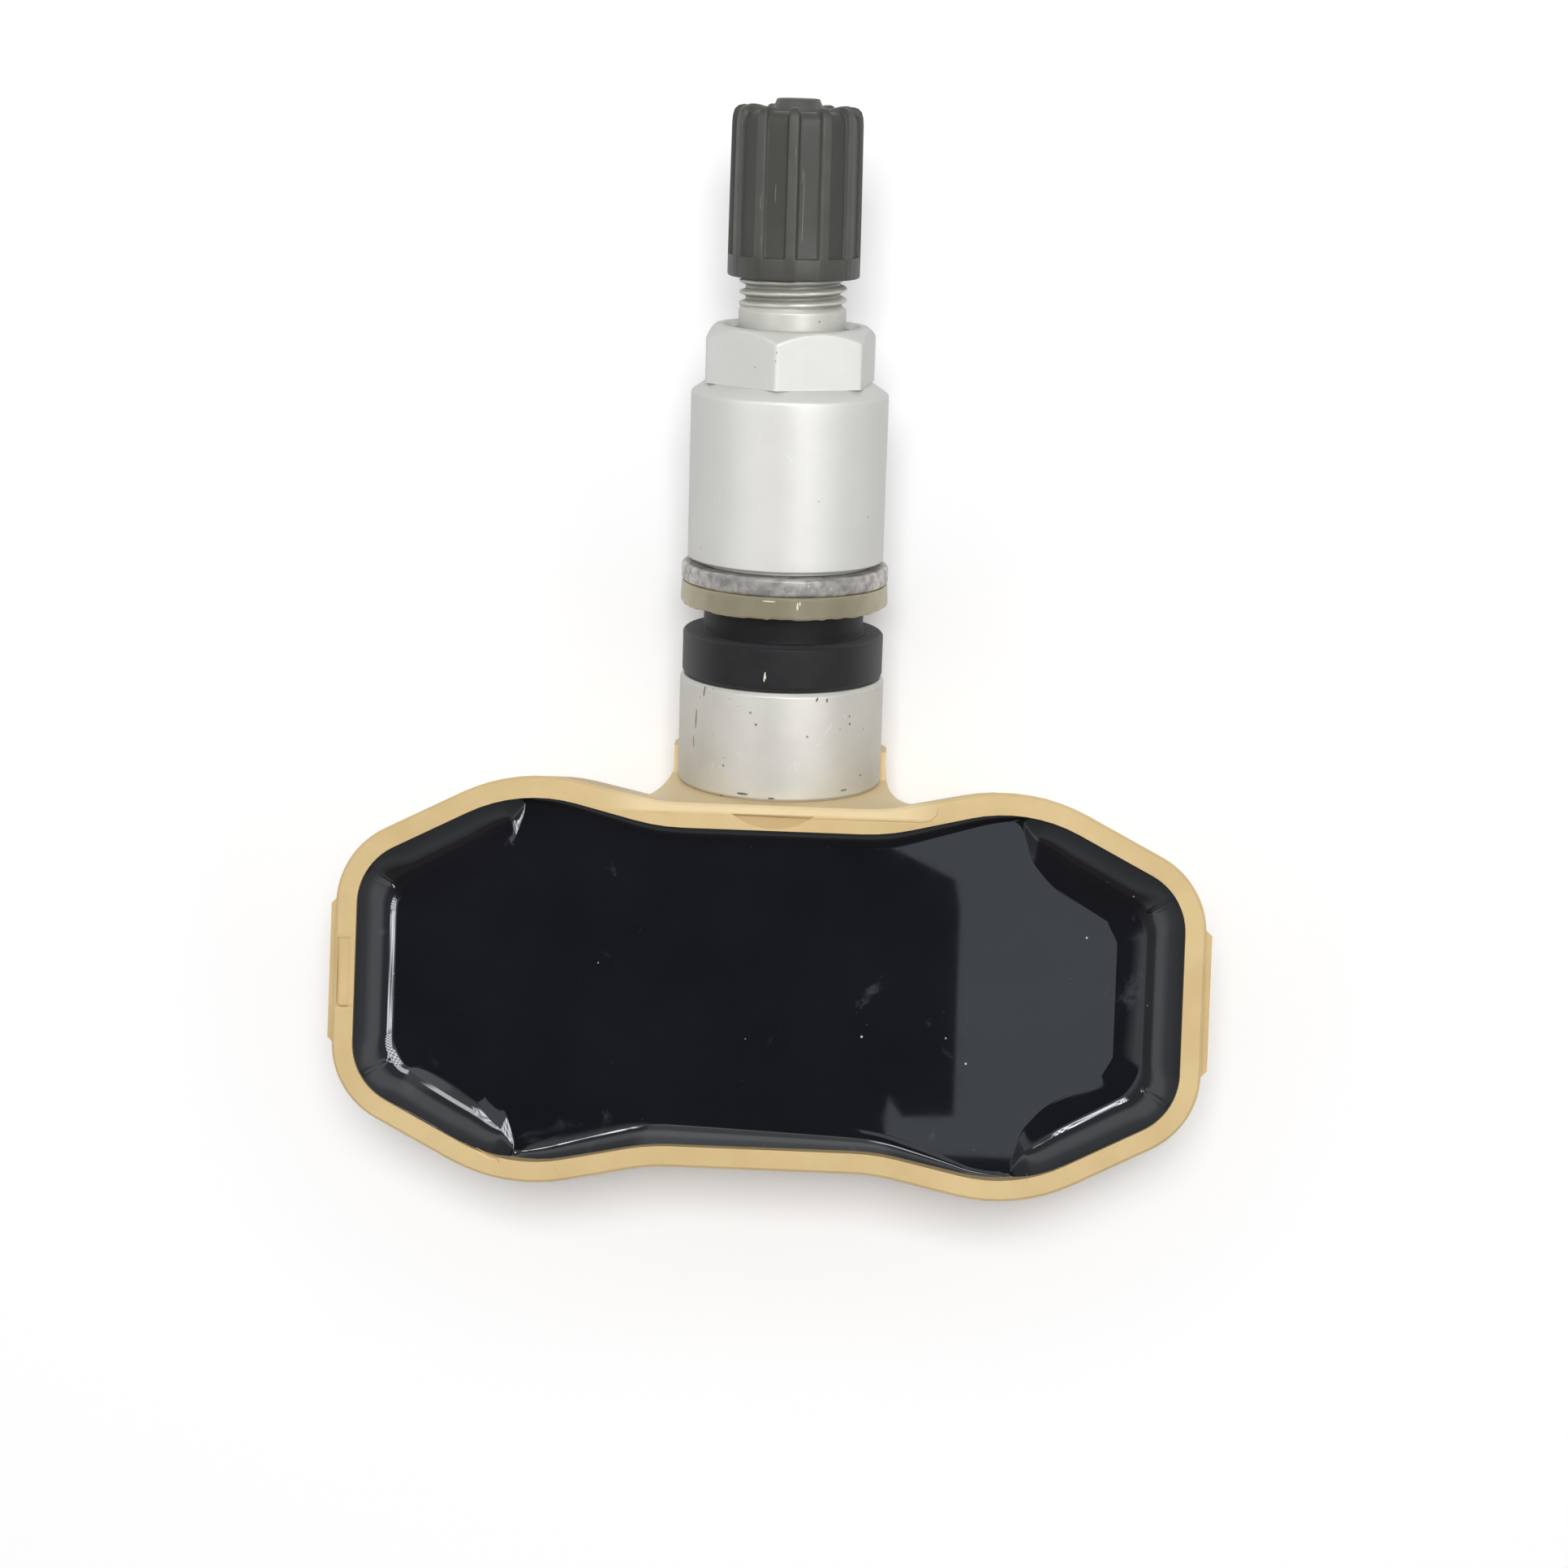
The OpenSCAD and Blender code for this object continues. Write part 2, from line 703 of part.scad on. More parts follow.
// Ferrite bobbin: two end plates with the winding between them.
module wake_up_coil_shape(sink = 0) {
  plate = [coil_size.x, 1, coil_size.z];
  plate_y = (coil_size.y - plate.y) / 2;
  for (side = [-1, 1])
    on_board([coil_at.x, coil_at.y + side * plate_y], plate, sink);
  translate([coil_at.x, coil_at.y + plate_y, board_top + coil_size.z / 2])
    rotate([90, 0, 0])
      cylinder(d = coil_size.z - 0.4, h = 2 * plate_y);
}

module wake_up_coil() {
  color([0.55, 0.30, 0.12]) wake_up_coil_shape();
}

module capacitor_shapes(sink = 0) {
  for (i = [0:3])
    on_board(capacitor_at + [i * capacitor_pitch, 0], capacitor_size, sink);
}

module capacitors() {
  color([0.62, 0.48, 0.32]) capacitor_shapes();
}

// Stamped antenna: a bar on two legs near the right end.
module antenna_shape(sink = 0) {
  span = 14;
  bar_w = 2;
  strip = 0.5;
  translate([antenna_x, -span / 2, board_top + antenna_h - bar_w])
    cube([strip, span, bar_w]);
  for (y = [-span / 2, span / 2 - bar_w])
    translate([antenna_x, y, board_top - sink])
      cube([strip, bar_w, antenna_h + sink]);
}

module antenna() {
  color([0.72, 0.45, 0.22]) antenna_shape();
}

// Valve stem
// Side of the root flange and its neck, which the housing is moulded around.
function root_side(gap = 0) = [
  [0, -root_len - gap],
  [root_d / 2 + gap, -root_len - gap],
  [root_d / 2 + gap, -root_len / 2],
  [root_neck_d / 2, -root_len / 2],
  [root_neck_d / 2, 0]
];

module valve_stem() {
  bevel = 0.25;
  neck_run = 0.5;
  mouth_bevel = 0.5;
  first_groove = 0.6;
  color([0.80, 0.81, 0.82])
    on_stem()
      difference() {
        turned(concat(
          root_side(),
          [[base_d / 2 - bevel, 0], [base_d / 2, bevel]],
          [[base_d / 2, base_len - bevel], [base_d / 2 - bevel, base_len]],
          [[shank_d / 2, base_len], [shank_d / 2, nut_thread_s - neck_run]],
          reverse(thread_side(nut_thread_d, nut_pitch, nut_thread_end_s, nut_thread_s)),
          [[tip_d / 2, nut_thread_end_s + neck_run], [tip_d / 2, tip_thread_s]],
          reverse(thread_side(tip_d, tip_pitch, stem_len - first_groove, tip_thread_s)),
          [[tip_d / 2 - mouth_bevel, stem_len], [0, stem_len]]
        ));
        translate([0, 0, port_s])
          cylinder(d = passage_d, h = stem_len);
        translate([0, 0, port_s])
          rotate([-90, 0, 0])
            cylinder(d = port_d, h = base_d);
        translate([0, 0, well_s])
          cylinder(d = well_d, h = stem_len);
        translate([0, 0, gasket_s])
          cylinder(r1 = well_d / 2, r2 = chamber_d / 2, h = gasket_cone_h);
        translate([0, 0, gasket_s + gasket_cone_h])
          cylinder(d = chamber_d, h = stem_len);
      }
}

// Rubber seal, washers and nut
module rubber_seal() {
  edge = 0.3;
  hole_r = shank_d / 2;
  color([0.09, 0.09, 0.10])
    on_stem()
      turned([
        [hole_r, flange_s], [flange_d / 2 - edge, flange_s], [flange_d / 2, flange_s + edge],
        [flange_d / 2, neck_s - edge], [flange_d / 2 - edge, neck_s],
        [neck_d / 2 + edge, neck_s], [neck_d / 2, neck_s + edge],
        [neck_d / 2, neck_top_s], [hole_r, neck_top_s]
      ]);
}

module nylon_washer() {
  hole_r = neck_d / 2 + face_gap;
  r = neck_d / 2 + nylon_w;
  edge = 0.15;
  flare = 0.08;
  color([0.78, 0.75, 0.60])
    on_stem(neck_top_s - nylon_t)
      turned([
        [hole_r, 0], [r - edge, 0], [r, edge], [r - flare, nylon_t], [hole_r, nylon_t]
      ]);
}

module metal_washer() {
  edge = 0.18;
  r = neck_d / 2 + washer_w;
  hole_r = washer_hole_d / 2;
  color([0.66, 0.66, 0.67])
    on_stem(neck_top_s)
      turned([
        [hole_r, 0], [r - edge, 0], [r, edge],
        [r, washer_t - edge], [r - edge, washer_t], [hole_r, washer_t]
      ]);
}

module sleeve_nut() {
  r = sleeve_d / 2;
  hex_r = hex_af / 2 / cos(30);
  bevel_r = max(r - sleeve_bevel_w, hex_af / 2);
  hex_top_r = hex_af / 2 - 0.2;
  corner_drop = (hex_r + over - hex_top_r) * tan(hex_crown);
  lip_r = r - 0.75;
  lip_bevel = 0.1;
  total = nut_top_s - nut_s;
  bore_r = nut_bore_d / 2;
  foot_bevel = 0.15;
  mouth_bevel = 0.4;
  color([0.83, 0.84, 0.85])
    on_stem(nut_s)
      difference() {
        union() {
          turned([
            [0, 0], [lip_r, 0], [lip_r, lip_relief],
            [r - lip_bevel, lip_relief], [r, lip_relief + lip_bevel],
            [r, sleeve_len], [bevel_r, hex_s - nut_s], [0, hex_s - nut_s]
          ]);
          intersection() {
            translate([0, 0, sleeve_len])
              rotate([0, 0, hex_turn])
                cylinder(r = hex_r, h = total - sleeve_len, $fn = 6);
            turned([
              [0, 0], [hex_r + over, 0], [hex_r + over, total - corner_drop],
              [hex_top_r, total], [0, total]
            ]);
          }
        }
        translate([0, 0, -over])
          cylinder(r = bore_r + foot_bevel, h = over + lip_relief + 0.5);
        translate([0, 0, -over])
          cylinder(r = bore_r, h = over + nut_thread_end_s - nut_s + 0.2);
        translate([0, 0, -over])
          cylinder(d = nut_mouth_d, h = total + 2 * over);
        translate([0, 0, total + face_gap - mouth_bevel])
          cylinder(r1 = nut_mouth_d / 2, r2 = nut_mouth_d / 2 + mouth_bevel, h = mouth_bevel);
      }
}

// Valve core
module core_barrel() {
  head_r = chamber_d / 2 - run_gap;
  barrel_r = core_barrel_d / 2;
  edge = 0.2;
  head_bevel = 0.3;
  tongue_w = 1.6;
  tongue_h = 1.2;
  color([0.80, 0.66, 0.35])
    on_stem()
      difference() {
        turned([
          [0, core_foot_s], [barrel_r - edge, core_foot_s], [barrel_r, core_foot_s + edge],
          [barrel_r, core_head_s], [head_r - head_bevel, core_head_s],
          [head_r, core_head_s + head_bevel],
          [head_r, core_top_s - edge], [head_r - edge, core_top_s], [0, core_top_s]
        ]);
        translate([0, 0, core_foot_s - over])
          cylinder(d = pin_hole_d, h = stem_len);
        translate([0, 0, spring_seat_s])
          cylinder(d = spring_bore_d, h = stem_len);
        for (side = [-1, 1])
          translate([side * (tongue_w / 2 + head_r), 0, core_top_s])
            cube([2 * head_r, 2 * head_r + over, 2 * tongue_h], center = true);
      }
}

module core_gasket() {
  color([0.85, 0.84, 0.80])
    on_stem(gasket_s)
      turned([
        [core_barrel_d / 2, 0], [well_d / 2 - run_gap, 0],
        [chamber_d / 2 - run_gap, gasket_cone_h], [chamber_d / 2 - run_gap, gasket_len],
        [core_barrel_d / 2, gasket_len]
      ]);
}

module core_pin() {
  pin_r = pin_d / 2;
  collar_r = spring_bore_d / 2 - 0.1;
  tip_s = stem_len - pin_set;
  tip_bevel = 0.15;
  foot_r = pin_r + 0.35;
  foot_top_s = core_foot_s - plunger_t;
  foot_s = foot_top_s - 0.4;
  color([0.82, 0.70, 0.42])
    on_stem()
      turned([
        [0, foot_s], [foot_r, foot_s], [foot_r, foot_top_s], [pin_r, foot_top_s],
        [pin_r, pin_collar_s - pin_collar_t], [collar_r, pin_collar_s - pin_collar_t],
        [collar_r, pin_collar_s], [pin_r, pin_collar_s],
        [pin_r, tip_s - tip_bevel], [pin_r - tip_bevel, tip_s], [0, tip_s]
      ]);
}

module core_plunger() {
  r = plunger_d / 2;
  edge = 0.2;
  top = plunger_t - face_gap;
  color([0.12, 0.12, 0.12])
    on_stem(core_foot_s - plunger_t)
      turned([
        [pin_d / 2, 0], [r - edge, 0], [r, edge],
        [r, top - edge], [r - edge, top], [pin_d / 2, top]
      ]);
}

// Helical spring swept from its wire's round section, with one close turn at each end.
module core_spring() {
  sides = 8;
  steps = 14;
  wire_r = wire_d / 2;
  coil_r = spring_bore_d / 2 - wire_r - 0.08;
  low = spring_seat_s + wire_r + face_gap;
  high = pin_collar_s - pin_collar_t - wire_r - face_gap;
  close_rise = wire_d * 1.1;
  total = spring_turns * steps;
  rise = high - low - 2 * close_rise;
  function height(k) =
    let (turn = k / steps, open_turns = spring_turns - 2)
    turn < 1 ? low + close_rise * turn
    : turn > spring_turns - 1 ? high - close_rise * (spring_turns - turn)
    : low + close_rise + rise * (turn - 1) / open_turns;
  points = [
    for (k = [0:total]) for (j = [0:sides - 1])
      let (a = 360 * k / steps, b = 360 * j / sides, r = coil_r + wire_r * cos(b))
      [r * cos(a), r * sin(a), height(k) + wire_r * sin(b)]
  ];
  faces = [
    for (k = [0:total - 1]) for (j = [0:sides - 1])
      let (a = k * sides + j, b = k * sides + (j + 1) % sides)
      each [[a, a + sides, b], [b, a + sides, b + sides]],
    [for (j = [0:sides - 1]) j],
    [for (j = [sides - 1:-1:0]) total * sides + j]
  ];
  color([0.62, 0.63, 0.65])
    on_stem()
      polyhedron(points, faces, convexity = 10);
}

// Cap
module cap_seal() {
  r = cap_bore_r - 2 * run_gap;
  color([0.15, 0.15, 0.15])
    on_stem(stem_len + face_gap)
      difference() {
        cylinder(r = r, h = cap_seal_t);
        translate([0, 0, -over])
          cylinder(r = chamber_d / 2, h = cap_seal_t + 2 * over);
      }
}

module valve_cap() {
  foot_r = cap_d / 2;
  mouth_bevel = 0.35;
  top_r = foot_r - cap_taper / 2;
  groove_top_r = top_r - rib_h;
  round_r = 0.5;
  edge = 0.2;
  top = cap_len;
  dish = 0.35;
  dish_r = boss_d / 2;
  first_rib = 268.7;
  color([0.27, 0.27, 0.25])
    on_stem(cap_s)
      difference() {
        union() {
          turned([
            [0, 0], [foot_r - edge, 0], [foot_r, edge], [foot_r, skirt_h],
            [foot_r - rib_h, skirt_h], [groove_top_r, top - dish - round_r],
            [groove_top_r - round_r, top - dish],
            [dish_r, top - dish], [dish_r - 0.35, top + boss_h], [0, top + boss_h]
          ]);
          intersection() {
            turned([
              [0, skirt_h / 2], [foot_r - 2 * face_gap, skirt_h / 2], [top_r, top - round_r],
              [top_r - 0.3 * round_r, top - 0.3 * round_r], [top_r - round_r, top],
              [top_r - 2.4 * round_r, top], [0, top - 2]
            ]);
            for (i = [0:rib_count - 1])
              rotate([0, 0, first_rib + i * 360 / rib_count])
                translate([foot_r / 2, -rib_w / 2, 0])
                  cube([foot_r, rib_w, top + over]);
          }
        }
        translate([0, 0, -over])
          cylinder(r = cap_bore_r, h = cap_depth + over);
        translate([0, 0, -face_gap])
          cylinder(r1 = cap_bore_r + mouth_bevel, r2 = cap_bore_r, h = mouth_bevel);
      }
}

housing();
resin();
circuit_board();
battery();
battery_top_strip();
battery_bottom_strip();
pressure_sensor();
port_seal();
port_filter();
transmitter_chip();
motion_chip();
crystal();
wake_up_coil();
capacitors();
antenna();
valve_stem();
rubber_seal();
nylon_washer();
metal_washer();
sleeve_nut();
core_barrel();
core_gasket();
core_pin();
core_plunger();
core_spring();
cap_seal();
valve_cap();
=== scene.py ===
# %% [markdown]
# Tyre pressure sensor, dressed for a photograph.
#
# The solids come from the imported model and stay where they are. This script adds what a solid
# model leaves out: soft edges, a real screw thread, a cap with rounded ribs, the resin that creeps
# up the wall of its pocket, and the finish of every surface. Lengths are in metres in Blender, but
# the small parts are easier to think of in millimetres, so the helpers below take millimetres.

# %% Load the frame
import math
import random
from contextlib import contextmanager

import bmesh
import bpy
import numpy as np
from mathutils import Matrix, Vector


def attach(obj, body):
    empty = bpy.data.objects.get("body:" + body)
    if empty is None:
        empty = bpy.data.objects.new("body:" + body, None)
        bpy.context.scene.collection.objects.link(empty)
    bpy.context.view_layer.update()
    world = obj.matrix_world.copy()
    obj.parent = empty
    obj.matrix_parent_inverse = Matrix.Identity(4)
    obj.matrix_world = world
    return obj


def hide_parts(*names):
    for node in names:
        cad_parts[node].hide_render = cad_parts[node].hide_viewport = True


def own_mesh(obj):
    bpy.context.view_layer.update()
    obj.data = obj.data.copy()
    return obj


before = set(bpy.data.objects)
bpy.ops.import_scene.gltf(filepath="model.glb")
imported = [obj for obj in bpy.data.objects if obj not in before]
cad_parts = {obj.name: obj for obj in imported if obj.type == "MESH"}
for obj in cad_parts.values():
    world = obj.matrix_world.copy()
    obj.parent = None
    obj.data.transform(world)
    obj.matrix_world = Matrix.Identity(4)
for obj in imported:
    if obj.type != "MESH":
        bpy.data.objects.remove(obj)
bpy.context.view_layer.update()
scene = bpy.context.scene
MM = 0.001

# %% [markdown]
# The camera.
#
# The photograph looks almost straight down on the sensor, from about a quarter of a metre away.
# A camera could be placed by eye, but a few pixels of error would hide real differences of shape.
# These values come from matching the outline of the rim and the steps of the valve stem, so the
# render and the photograph can be laid over each other.

# %% Camera
CAMERA_AT = (8.037, 20.866, 249.19)
CAMERA_TURN = (-1.4624, 1.8731, 2.0859)
LENS_MM = 74.34
SENSOR_MM = 36

view = bpy.data.cameras.new("view_from_above")
view.lens = LENS_MM
view.sensor_width = SENSOR_MM
view.clip_start = 0.005
camera = bpy.data.objects.new("camera", view)
camera.location = [v * MM for v in CAMERA_AT]
camera.rotation_euler = [math.radians(a) for a in CAMERA_TURN]
scene.collection.objects.link(camera)
scene.camera = camera
scene.view_settings.view_transform = "Standard"
print("camera height in mm:", CAMERA_AT[2])

# %% [markdown]
# Small tools for nodes.
#
# A finish is a web of nodes, and writing each one out by hand hides the idea behind it. These
# helpers add a node, set its sockets by name and join it to the others in one line, so that a
# material reads as a list of what is on the surface. Colours are written as they look on a screen,
# from 0 to 255, and turned into the linear values that a shader wants.

# %% Helpers for nodes
def paint(red, green, blue):
    """A screen colour as a linear colour with full alpha."""
    def linear(v):
        v /= 255
        return v / 12.92 if v <= 0.04045 else ((v + 0.055) / 1.055) ** 2.4
    return (linear(red), linear(green), linear(blue), 1.0)


def plug(tree, socket, value):
    """Joins another socket to this one, or sets this one to a value."""
    if isinstance(value, bpy.types.NodeSocket):
        tree.links.new(value, socket)
    else:
        socket.default_value = value


def add(tree, kind, ins=None, **settings):
    """A new node: settings are its own options, and ins are its sockets, as values or links."""
    node = tree.nodes.new(kind)
    for key, value in settings.items():
        setattr(node, key, value)
    for key, value in (ins or {}).items():
        plug(tree, node.inputs[key], value)
    return node


def maths(tree, operation, *values):
    """A maths node with its values filled in from the left."""
    return add(tree, "ShaderNodeMath", dict(enumerate(values)), operation=operation).outputs[0]


def product(tree, value, *others):
    """All the values multiplied together."""
    for other in others:
        value = maths(tree, "MULTIPLY", value, other)
    return value


def ramp(tree, value, start, end):
    """Goes smoothly from 0 to 1 while value goes from start to end."""
    return add(tree, "ShaderNodeMapRange", {"Value": value, "From Min": start, "From Max": end},
               interpolation_type="SMOOTHSTEP").outputs["Result"]


def blend_colours(tree, share, first, second):
    """Share 0 gives the first colour, and share 1 the second."""
    return add(tree, "ShaderNodeMix", {0: share, 6: first, 7: second}, data_type="RGBA").outputs[2]


def new_group(name, inputs, outputs):
    """An empty node group with named sockets. Inputs are name: (kind, value)."""
    group = bpy.data.node_groups.new(name, "ShaderNodeTree")
    add_socket = group.interface.new_socket
    for key, (kind, value) in inputs.items():
        socket = add_socket(name=key, in_out="INPUT", socket_type="NodeSocket" + kind)
        if value is not None:
            socket.default_value = value
    for key, kind in outputs.items():
        add_socket(name=key, in_out="OUTPUT", socket_type="NodeSocket" + kind)
    enters, leaves = group.nodes.new("NodeGroupInput"), group.nodes.new("NodeGroupOutput")
    return group, enters.outputs, leaves.inputs


print("node helpers ready")

# %% [markdown]
# Effects that many finishes share.
#
# Moulded plastic, ground metal and rubber look different, but they are made of the same few
# effects: patches of slightly different colour, fine grain, scratches and specks of dust. Each is
# one node group, built once, and a material sets its scale and strength. Procedural noise is used
# instead of pictures because it has no seams and works at any size.

# %% Group: patches
patches, given, made = new_group(
    "Patches",
    {"Vector": ("Vector", None), "Scale": ("Float", 300.0), "Contrast": ("Float", 0.25),
     "Colour A": ("Color", (0.5, 0.5, 0.5, 1)), "Colour B": ("Color", (0.6, 0.6, 0.6, 1))},
    {"Colour": "Color", "Mask": "Float"},
)
noise = add(patches, "ShaderNodeTexNoise",
            {"Vector": given["Vector"], "Scale": given["Scale"], "Detail": 4.0, "Roughness": 0.55})
mask = ramp(patches, noise.outputs["Fac"], maths(patches, "SUBTRACT", 0.5, given["Contrast"]),
            maths(patches, "ADD", 0.5, given["Contrast"]))
plug(patches, made["Mask"], mask)
plug(patches, made["Colour"], blend_colours(patches, mask, given["Colour A"], given["Colour B"]))
print("group made:", patches.name)

# %% Group: grain
grain, given, made = new_group(
    "Grain",
    {"Vector": ("Vector", None), "Scale": ("Float", 3000.0), "Low": ("Float", 0.3),
     "High": ("Float", 0.5)},
    {"Roughness": "Float", "Height": "Float"},
)
noise = add(grain, "ShaderNodeTexNoise",
            {"Vector": given["Vector"], "Scale": given["Scale"], "Detail": 3.0, "Roughness": 0.6})
spread = add(grain, "ShaderNodeMapRange",
             {"Value": noise.outputs["Fac"], "From Min": 0.3, "From Max": 0.7,
              "To Min": given["Low"], "To Max": given["High"]})
plug(grain, made["Roughness"], spread.outputs["Result"])
plug(grain, made["Height"], noise.outputs["Fac"])
print("group made:", grain.name)

# %% Group: scratches
scratches, given, made = new_group(
    "Scratches",
    {"Vector": ("Vector", None), "Stretch": ("Vector", (1.0, 1.0, 0.05)),
     "Scale": ("Float", 4000.0), "Share": ("Float", 0.1)},
    {"Mask": "Float"},
)
drawn_out = add(scratches, "ShaderNodeVectorMath", {0: given["Vector"], 1: given["Stretch"]},
                operation="MULTIPLY").outputs[0]
noise = add(scratches, "ShaderNodeTexNoise",
            {"Vector": drawn_out, "Scale": given["Scale"], "Detail": 2.0, "Roughness": 0.6})
start = maths(scratches, "SUBTRACT", 0.78, given["Share"])
end = maths(scratches, "ADD", start, 0.08)
plug(scratches, made["Mask"], ramp(scratches, noise.outputs["Fac"], start, end))
print("group made:", scratches.name)

# %% Group: specks
specks, given, made = new_group(
    "Specks",
    {"Vector": ("Vector", None), "Scale": ("Float", 900.0), "Share": ("Float", 0.2),
     "Size": ("Float", 0.12)},
    {"Mask": "Float"},
)
cells = add(specks, "ShaderNodeTexVoronoi", {"Vector": given["Vector"], "Scale": given["Scale"]})
chosen = add(specks, "ShaderNodeSeparateColor", {"Color": cells.outputs["Color"]})
kept = maths(specks, "LESS_THAN", chosen.outputs[0], given["Share"])
size = product(specks, given["Size"], maths(specks, "ADD", 0.4, chosen.outputs[1]))
within = add(specks, "ShaderNodeMapRange", {"Value": cells.outputs["Distance"], "From Min": size,
                                            "From Max": product(specks, size, 0.5)})
plug(specks, made["Mask"], product(specks, within.outputs["Result"], kept))
print("group made:", specks.name)

# %% [markdown]
# One recipe for most finishes.
#
# A finish starts from two near tones in patches, and takes scratches and specks on top. The grain
# moves the roughness a little and is also the height of a fine bump. Metals keep a plain metallic
# value, and everything that is the same all over the surface sits on the shader's own sockets.

# %% Recipe for a finish
def place_group(tree, group, size, **ins):
    """A shared effect with its size in mm, and its other sockets by name."""
    ins = {key.replace("_", " "): value for key, value in ins.items()}
    return add(tree, "ShaderNodeGroup", {"Scale": 1000 / size, **ins}, node_tree=group).outputs


def own_space(tree, on_stem):
    """The piece's own coordinates, or for the stem's pieces those of the leaning stem."""
    at = add(tree, "ShaderNodeTexCoord").outputs["Object"]
    if on_stem:
        turn = (math.radians(STEM_LEAN - 90), 0, 0)
        at = add(tree, "ShaderNodeMapping",
                 {"Vector": at, "Location": [v * MM for v in STEM_FOOT], "Rotation": turn},
                 vector_type="TEXTURE").outputs[0]
    return at


def finish(name, tones, patch_size, rough, grain_size, bump, metallic=0.0, scratch=None,
           dust=None, spread=0.25, on_stem=False, **plain):
    """A material. Sizes are in mm, tones are two screen colours, rough is (lowest, highest).

    scratch is (screen colour, stretch, size, share), dust is (screen colour, size, share, spot)."""
    material = bpy.data.materials.new(name)
    material.use_nodes = True
    tree = material.node_tree
    shader = tree.nodes["Principled BSDF"]
    shader.inputs["Metallic"].default_value = metallic
    for key, value in plain.items():
        shader.inputs[key.replace("_", " ")].default_value = value
    at = own_space(tree, on_stem)
    base = place_group(tree, patches, patch_size, Vector=at, Contrast=spread,
                       Colour_A=paint(*tones[0]), Colour_B=paint(*tones[1]))
    fine = place_group(tree, grain, grain_size, Vector=at, Low=rough[0], High=rough[1])
    colour, roughness, height = base["Colour"], fine["Roughness"], fine["Height"]
    if scratch:
        tone, stretch, size, share = scratch
        mask = place_group(tree, scratches, size, Vector=at, Stretch=stretch, Share=share)["Mask"]
        colour = blend_colours(tree, mask, colour, paint(*tone))
        height = maths(tree, "SUBTRACT", height, product(tree, mask, 0.5))
    if dust:
        tone, size, share, spot = dust
        mask = place_group(tree, specks, size, Vector=at, Share=share, Size=spot)["Mask"]
        colour = blend_colours(tree, mask, colour, paint(*tone))
    tree.links.new(colour, shader.inputs["Base Color"])
    tree.links.new(roughness, shader.inputs["Roughness"])
    if bump:
        bumped = add(tree, "ShaderNodeBump",
                     {"Height": height, "Distance": bump * MM, "Strength": 1.0})
        tree.links.new(bumped.outputs["Normal"], shader.inputs["Normal"])
    return material


def overlay(material, mask, tone):
    """Lays another screen colour over the finish where the mask is 1."""
    tree = material.node_tree
    socket = tree.nodes["Principled BSDF"].inputs["Base Color"]
    under = socket.links[0].from_socket
    tree.links.new(blend_colours(tree, mask, under, paint(*tone)), socket)


def distance(tree, across, up):
    """How far two lengths at right angles reach."""
    return maths(tree, "SQRT", maths(tree, "ADD", product(tree, across, across),
                                     product(tree, up, up)))


def own_place(tree, on_stem=False):
    """x, y, z in the piece's own space, and the distance from its z axis, in metres."""
    at = add(tree, "ShaderNodeSeparateXYZ", {0: own_space(tree, on_stem)}).outputs
    return at[0], at[1], at[2], distance(tree, at[0], at[1])


def paint_light_by_turn(material, start, end, share, tone):
    """Painted light and shade that follow the eye: a tone laid over by how far the surface turns
    from it, 0 where it faces the eye and 1 one side on.
    """
    tree = material.node_tree
    facing = add(tree, "ShaderNodeLayerWeight", {"Blend": 0.5}).outputs["Facing"]
    overlay(material, product(tree, ramp(tree, facing, start, end), share), tone)


print("recipe ready")

# %% [markdown]
# Tools for round parts.
#
# Nearly everything on the stem was made on a lathe or turned in a mould, so one profile goes round
# an axis. A plain revolved polygon has knife edges, and real edges never are: they catch a thin
# line of light. So each corner of a profile is first cut back and rounded. The stem leans back by
# 12 degrees, so its pieces are made upright and then turned into place with one matrix.

# %% Helpers for round parts
STEM_FOOT = (0, 14.798, 8.6)
STEM_LEAN = 12
STEM = (Matrix.Translation([v * MM for v in STEM_FOOT])
        @ Matrix.Rotation(math.radians(STEM_LEAN - 90), 4, "X"))


def rounded(profile, radius, steps=4, closed=True):
    """The profile with each corner rounded. radius is one value, or one for each corner."""
    points = [Vector(p) for p in profile]
    count = len(points)
    radii = radius if isinstance(radius, (list, tuple)) else [radius] * count
    out = []
    for i, here in enumerate(points):
        if not closed and i in (0, count - 1):
            out.append(tuple(here))
            continue
        back, on = points[i - 1] - here, points[(i + 1) % count] - here
        angle = back.angle(on, math.pi)
        if radii[i] <= 0 or angle > math.radians(178):
            out.append(tuple(here))
            continue
        reach = min(radii[i] / math.tan(angle / 2), 0.45 * back.length, 0.45 * on.length)
        r = reach * math.tan(angle / 2)
        halfway = (back.normalized() + on.normalized()).normalized()
        centre = here + halfway * (r / math.sin(angle / 2))
        first = here + back.normalized() * reach - centre
        last = here + on.normalized() * reach - centre
        sweep = first.angle_signed(last)
        for k in range(steps + 1):
            turn = Matrix.Rotation(-sweep * k / steps, 2)
            out.append(tuple(centre + turn @ first))
    return out


def filled(profile, step, low=None, high=None):
    """The profile with extra points along its long sides, no further apart than step."""
    out = []
    for a, b in zip(profile, profile[1:]):
        middle = (a[1] + b[1]) / 2
        wanted = low is None or low < middle < high
        n = max(1, math.ceil(math.dist(a, b) / step)) if wanted else 1
        out += [(a[0] + (b[0] - a[0]) * k / n, a[1] + (b[1] - a[1]) * k / n) for k in range(n)]
    return out + [profile[-1]]


def closed_ring(profile, step):
    """The same for a profile that closes on itself."""
    return filled(profile + profile[:1], step)[:-1]


def quads(rows, across, ring=False):
    """Faces between rows of points that each go round once. With ring the rows close too."""
    return [(j * across + i, j * across + (i + 1) % across,
             (j + 1) % rows * across + (i + 1) % across, (j + 1) % rows * across + i)
            for j in range(rows if ring else rows - 1) for i in range(across)]


